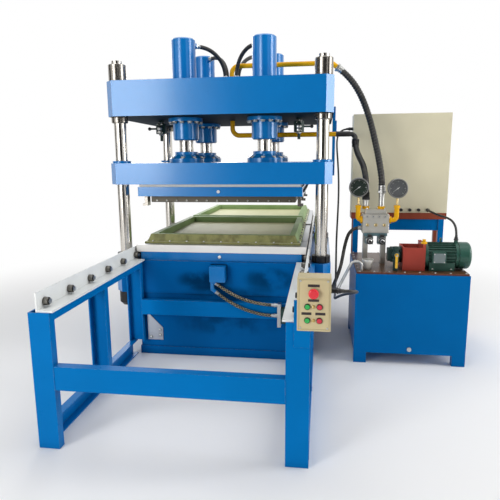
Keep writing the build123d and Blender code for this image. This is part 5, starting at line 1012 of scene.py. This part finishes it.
LID_TOP = 752
MOTOR_END_X, MOTOR_Y, MOTOR_Z = 1640, -500, 864
MOTOR_FOOT_X = (1700, 1840)
TERMINAL_LOW, TERMINAL_HIGH = at(1694, -648, 826), at(1782, -643, 902)
EYE_X, EYE_Z, EYE_FOOT_Z = 1771, 986, 954
BLOCK_LOW, BLOCK_HIGH = at(1160, -415, 1023), at(1376, -285, 1217)
PORT_SCREW_Z, BLOCK_PLUG_Z = 1160, 1090
ELBOW_X, ELBOW_Y, ELBOW_LOW_Z, ELBOW_HIGH_Z = (1123, 1435), -389, 1131, 1232
NIPPLE_X, NIPPLE_Y = (1188, 1316), -330
COIL_X, COIL_FACE, COIL_END, COIL_Z = (1218, 1318), -426, -486, 965
COIL_PLUG_Y, COIL_PLUG_Z, HALF_COIL_PLUG = -455, 1007, at(17, 21, 9)
BRACKET_PORT = at(1628, -582, 968)
GAUGE_FRONT = -407
GAUGES = (("left", 1123, 1400, dial_dark, 0.031), ("right", 1435, 1392, dial_grey, 0.0275))
DIAL_START, DIAL_SWEEP, TICK_GAPS, TICKS_TO_LONG = 225, 270, 30, 5
TICK_RIM, TICK_HEIGHTS, LONG_TICK, SHORT_TICK = 64, (1.4, 2), (50, 2.6), (57, 1)
NEEDLE_HEIGHT, NEEDLE_TAIL, NEEDLE_REACH, NEEDLE_RADII = 2.6, 16, 54, (2.4, 2.2, 0.5)
CABINET_LOW, CABINET_HIGH = at(1100, 200, 1130), at(1970, 430, 2035)
DOOR_LATCH = at(1160, 450, 1582.5)


def lid_bolts():
    low, high = box_of("tank_lid")
    count, end, edge = 8, 22, 14
    across = spread(low.x + end, high.x - end, count)
    along = spread(low.y + end, high.y - end, count)[1:-1]
    shape = Shape()
    for x, y in rim_places(low, high, across, along, edge):
        shape.bolt(at(x, y, LID_TOP), UP, size=8)
    shape.steel_piece("lid_bolts")


def motor_fittings():
    """Terminal cover, screws and lifting eye of the motor."""
    cover, screws, eye = Shape(), Shape(), Shape()
    low, high = TERMINAL_LOW, TERMINAL_HIGH
    cover.slab(low, high, bevel=2)
    cover.piece("terminal_cover", gasket_grey, slot="cast_grey")
    inset = 7
    for x in (low.x + inset, high.x - inset):
        for z in (low.z + inset, high.z - inset):
            screws.turned(TERMINAL_SCREW, at(x, low.y, z), FRONT, sides=16)
    count, radius, foot_height, foot_reach = 4, 96, 12, 92
    for step in range(count):
        turn = 2 * pi * (step + 0.5) / count
        place = at(MOTOR_END_X, MOTOR_Y + radius * cos(turn), MOTOR_Z + radius * sin(turn))
        screws.bolt(place, LEFT, size=9)
    for y in (MOTOR_Y - foot_reach, MOTOR_Y + foot_reach):
        for x in MOTOR_FOOT_X:
            screws.bolt(at(x, y, LID_TOP + foot_height), UP, size=10)
    screws.steel_piece("motor_screws")
    eye.ring(at(EYE_X, MOTOR_Y, EYE_Z), RIGHT, inner=12, outer=20, low=-5, high=5, sides=24)
    eye.turned(EYE_FOOT, at(EYE_X, MOTOR_Y, EYE_FOOT_Z), UP, sides=20)
    eye.piece("motor_lifting_eye", motor_paint, slot="motor_green")


def valve_block_fittings():
    """Screws, plugs and yellow unions of the valve block."""
    low, high = BLOCK_LOW, BLOCK_HIGH
    screws, plugs, unions = Shape(), Shape(), Shape()
    inset, port_inset, plug_inset = 34, 36, 40
    for x in (low.x + inset, high.x - inset):
        for y in (low.y + inset, high.y - inset):
            screws.cap_screw(at(x, y, high.z), UP, size=12)
    for x in spread(low.x + port_inset, high.x - port_inset, count=4):
        screws.cap_screw(at(x, low.y, PORT_SCREW_Z), FRONT, size=10)
    screws.steel_piece("valve_block_screws")
    for x in spread(low.x + plug_inset, high.x - plug_inset, count=3):
        plugs.turned(BLOCK_PLUG, at(x, low.y, BLOCK_PLUG_Z), FRONT, sides=24)
    plugs.piece("valve_block_plugs", brass, slot="bright_steel")
    for x, away in ((low.x, LEFT), (high.x, RIGHT)):
        unions.hexagon(at(x, ELBOW_Y, ELBOW_LOW_Z), away, across=54, height=20)
    for x in ELBOW_X:
        unions.hexagon(at(x, ELBOW_Y, ELBOW_HIGH_Z), UP, across=48, height=22)
    for x in NIPPLE_X:
        unions.hexagon(at(x, NIPPLE_Y, high.z), UP, across=58, height=24)
    unions.piece("valve_unions", pipe_paint, slot="yellow_paint")


def coil_fittings():
    """Plugs, nuts, rings and screws of the solenoid coils, and the pump bracket's port nut."""
    plugs, rings, port = Shape(), Shape(), Shape()
    ring_starts, ring_width, screw_x, screw_z = (2, 48), 7, 25, 27
    for x in COIL_X:
        plug = at(x, COIL_PLUG_Y, COIL_PLUG_Z)
        plugs.slab(plug - HALF_COIL_PLUG, plug + HALF_COIL_PLUG, bevel=3)
        rings.turned(COIL_NUT, at(x, COIL_END, COIL_Z), FRONT, sides=24)
        face = at(x, COIL_FACE, COIL_Z)
        for start in ring_starts:
            rings.ring(face, FRONT, inner=25, outer=28, low=start, high=start + ring_width)
        for across, up in CORNERS:
            rings.cap_screw(face + at(across * screw_x, 0, up * screw_z), FRONT, size=6)
    plugs.piece("coil_plugs", coil_black, slot="black_steel")
    rings.steel_piece("coil_rings")
    port.hexagon(BRACKET_PORT, UP, across=44, height=16)
    port.piece("bracket_port_nut", pipe_paint, slot="yellow_paint")


def dial_spoke(share):
    """The way out from a dial's middle at a share of its sweep."""
    angle = radians(DIAL_START - DIAL_SWEEP * share)
    return Vector((cos(angle), 0, sin(angle)))


def dial_tick(shape, centre, out, inner, width):
    """A flat bar on a dial, from an inner radius out to the scale's rim."""
    across = Vector((-out.z, 0, out.x)) * width / 2
    foot, tip = centre + out * inner, centre + out * TICK_RIM
    corners = (foot - across, tip - across, tip + across, foot + across)
    shape.skin([[shape.point(corner + FRONT * height) for corner in corners] for height in TICK_HEIGHTS])


def gauge_faces():
    """Bezel, dial, marks with needle, and glass of both pressure gauges."""
    for name, x, z, face, needle_share in GAUGES:
        centre = at(x, GAUGE_FRONT, z)
        bezel, dial, marks, pane = Shape(), Shape(), Shape(), Shape()
        bezel.ring(centre, FRONT, inner=70, outer=80, low=4, high=9, sides=64, bevel=2)
        bezel.piece(f"{name}_gauge_bezel", bezel_grey, slot="gauge_black")
        dial.turned(DIAL_PLATE, centre, FRONT, sides=64)
        dial.piece(f"{name}_gauge_dial", face)
        for tick in range(TICK_GAPS + 1):
            form = SHORT_TICK if tick % TICKS_TO_LONG else LONG_TICK
            dial_tick(marks, centre, dial_spoke(tick / TICK_GAPS), *form)
        needle, pivot = dial_spoke(needle_share), centre + FRONT * NEEDLE_HEIGHT
        tail, tip = pivot - needle * NEEDLE_TAIL, pivot + needle * NEEDLE_REACH
        marks.run([tail, pivot, tip], NEEDLE_RADII, sides=8)
        marks.turned(NEEDLE_HUB, centre, FRONT, sides=20)
        marks.piece(f"{name}_gauge_marks", dial_mark)
        pane.turned(DIAL_PANE, centre, FRONT, sides=64)
        pane.piece(f"{name}_gauge_glass", glass)


def cabinet_fittings():
    """Rivets on the cabinet and the latch handle on its door."""
    low, high = CABINET_LOW, CABINET_HIGH
    rivets, handle = Shape(), Shape()
    end, edge = 60, 14
    for z in spread(low.z + end, high.z - end, count=6):
        for x in (low.x + edge, high.x - edge):
            rivets.turned(RIVET, at(x, low.y, z), FRONT, sides=14)
    rivets.piece("cabinet_rivets", cabinet_paint, slot="cabinet_grey")
    _, door_high = box_of("cabinet_door")
    half_width, drop, rise, front = 9, 46, 10, 12
    back = door_high.y - DOOR_LATCH.y - 0.5
    handle.slab(DOOR_LATCH + at(-half_width, front, -drop), DOOR_LATCH + at(half_width, back, rise), bevel=2)
    handle.turned(HANDLE_SPINDLE, DOOR_LATCH, BACK, sides=24)
    handle.piece("door_handle", black_iron, "door", "black_steel")


# Which finish each CAD node wears, with tests for faces in millimetres

FAR = 10000
ALL = (-FAR, FAR)
# How far beyond a plane a face's centre has to lie
PAST = 0.5
LOOKING_SHARE, FOOT_SHARE = 0.9, 0.5
GUSSET_X, GUSSET_Y, GUSSET_Z = (-630, -490), (-FAR, -722), (126, 380)
MANIFOLD_SIDE, MANIFOLD_Z = (-76, 76), (2254, 2326)
BEAM_END_X, HANGER_X, SWITCH_BAR_X, VALVE_PORT_X, FAN_X = 690, 612, 880, 516, 1900
BRACKET_Y, DRAIN_PLUG_Y, BALL_STEM_Y = -2201, -705, -640
UPPER_NUTS_Z, RETURN_TOP_Z, GLAND_TOP_Z, ROD_FLANGE_Z, GAUGE_STEM_Z = 1900, 1900, 1800, 1704, 1318
GEAR_X, GEAR_Y, GEAR_Z = (1130, 1940), (241, FAR), (1160, 2005)
MOUNTING_PLATE_X, MOUNTING_PLATE_Y = (1150, FAR), (232, 238)
STAND_FRONT_Y, STAND_SHELF_Z = 213, 1070


def within(x=ALL, y=ALL, z=ALL):
    """A test for faces whose centre lies between limits."""

    def test(place, normal):
        return all(low < value < high for value, (low, high) in zip(place, (x, y, z)))

    return test


def either(*tests):
    """A test for faces that pass one of the tests."""

    def test(place, normal):
        return any(one(place, normal) for one in tests)

    return test


def past_sides(reach):
    """A test for faces further than a reach to the left or right of the middle."""
    return either(within(x=(-FAR, -reach)), within(x=(reach, FAR)))


def looking(*ways):
    """A test for faces that look along one of the ways."""

    def test(place, normal):
        return any(normal.dot(way) > LOOKING_SHARE for way in ways)

    return test


def gland_foot(place, normal):
    return place.z < GLAND_TOP_Z and normal.z < -FOOT_SHARE


def dress(node, material, *others):
    """Gives a node its finish; each of others is a finish and a test of a face's centre and normal."""
    data = nodes[node].data
    data.materials.clear()
    data.materials.append(material)
    for other, _ in others:
        data.materials.append(other)
    for face in data.polygons:
        face.material_index = 0
        for index, (_, test) in enumerate(others, 1):
            if test(face.center / MM, face.normal):
                face.material_index = index


def dress_press():
    sleeve_lap = 5
    gusset = within(GUSSET_X, GUSSET_Y, GUSSET_Z)
    manifold = within(MANIFOLD_SIDE, MANIFOLD_SIDE, MANIFOLD_Z)
    return_bend = within(x=(SLEEVE_END - sleeve_lap, FAR), z=(-FAR, RETURN_TOP_Z))
    dress("base_frame", shaded_base_paint, (plate_steel, gusset))
    dress("moving_platen", blue_paint)
    dress("shuttle_cylinder", blue_paint)
    # The lower beam's middle takes the darker painted-shade blue; its ends take the press blue
    dress("lower_beam", shaded_base_paint, (blue_paint, past_sides(BEAM_END_X)))
    # The crown's downward faces take the painted-shade paint
    dress("crown", blue_paint, (crown_underside_shade_paint, looking(DOWN)))
    dress("columns", chrome)
    dress("column_nuts", black_iron, (nut_steel, within(z=(UPPER_NUTS_Z, FAR))))
    dress("main_cylinders", blue_paint, (plain_steel, gland_foot))
    dress("header_pipes", pipe_paint, (black_iron, manifold), (hose_rubber, return_bend))
    dress("limit_switches", valve_paint, (blue_paint, within(x=(SWITCH_BAR_X, FAR))))
    dress("lower_hot_plate", blue_paint, (mould_steel, looking(UP, DOWN)))
    dress("upper_hot_plate", blue_paint, (mould_steel, looking(UP, DOWN)))
    dress("insulation_board", board_white)
    dress("upper_mould", mould_steel, (nut_steel, past_sides(HANGER_X)))
    dress("piston_rods", rod_chrome, (blue_paint, within(z=(-FAR, ROD_FLANGE_Z))))


def dress_tables():
    box_gear = either(within(y=(-FAR, BOX_FACE - PAST)), within(x=(BOX_RIGHT + PAST, FAR)))
    box_bracket = either(within(y=(BRACKET_Y + PAST, FAR)), within(z=(-FAR, BOX_FOOT - 2 * PAST)))
    dress("carriage", carriage_paint, (plate_steel, looking(UP)))
    dress("mould_trays", tray_green)
    dress("shuttle_rod", rod_chrome)
    dress("front_table", table_paint)
    dress("rear_table", table_paint)
    dress("roller_rails", rail_paint)
    dress("roller_studs", black_iron, (plain_steel, looking(LEFT, RIGHT)))
    dress("rear_rollers", roller_steel)
    for number in range(1, 7):
        dress(f"roller_pair_{number}", roller_steel)
    dress("shuttle_valve", valve_paint, (plain_steel, within(x=(-FAR, VALVE_PORT_X))))
    dress("control_box", box_paint, (black_iron, box_gear), (table_paint, box_bracket))
    dress("estop_button", stop_red)
    for row in ("upper", "lower"):
        dress(f"green_button_{row}", button_green)
        dress(f"red_button_{row}", button_red)


def dress_power_unit():
    elbows = either(within(x=(-FAR, BLOCK_LOW.x - PAST)), within(x=(BLOCK_HIGH.x + PAST, FAR)))
    nipples = within(x=(BLOCK_LOW.x, BLOCK_HIGH.x), z=(BLOCK_HIGH.z + PAST, FAR))
    breather = within(z=(LID_TOP + 2 * PAST, FAR))
    dress("oil_tank", tank_paint, (plain_steel, within(y=(-FAR, DRAIN_PLUG_Y - PAST))))
    dress("tank_lid", lid_paint, (lid_top_paint, looking(UP)), (breather_zinc, breather))
    dress("drain_pipe", plain_steel)
    dress("electric_motor", motor_paint)
    dress("motor_rotor", plain_steel, (motor_paint, within(x=(FAN_X, FAR))))
    dress("pump_bracket", bracket_paint, (pipe_paint, within(z=(BRACKET_PORT.z + PAST, FAR))))
    dress("hydraulic_pump", valve_paint)
    dress("valve_block", block_steel, (pipe_paint, elbows), (plain_steel, nipples))
    dress("solenoid_valves", solenoid_paint, (coil_black, within(y=(-FAR, COIL_FACE - 2 * PAST))))
    dress("pressure_gauges", gauge_black, (brass, within(z=(-FAR, GAUGE_STEM_Z))))
    dress("ball_valve", valve_paint, (plain_steel, within(y=(-FAR, BALL_STEM_Y))))
    dress("valve_lever", lever_dip)


def dress_cabinet():
    glands = either(within(y=(-FAR, CABINET_LOW.y - PAST)), within(x=(-FAR, CABINET_LOW.x - PAST)))
    gear = within(GEAR_X, GEAR_Y, GEAR_Z)
    mounting_plate = within(MOUNTING_PLATE_X, MOUNTING_PLATE_Y)
    blue_front = within(y=(-FAR, STAND_FRONT_Y), z=(-FAR, STAND_SHELF_Z - PAST))
    dress("control_cabinet", cabinet_paint, (gear_iron, either(glands, gear)), (plain_steel, mounting_plate))
    dress("cabinet_door", cabinet_paint)
    dress("cabinet_stand", stand_paint, (tank_paint, blue_front))


set_camera()
lay_hoses()
set_light()
set_floor()
set_dark_side()
dress_press()
dress_tables()
dress_power_unit()
dress_cabinet()
cylinder_bolts()
heat_plugs()
heater_caps()
tray_screws()
mould_screws()
crown_valve_fittings()
return_sleeve()
gusset_bolts()
table_welds()
box_fittings()
lid_bolts()
motor_fittings()
valve_block_fittings()
coil_fittings()
gauge_faces()
cabinet_fittings()
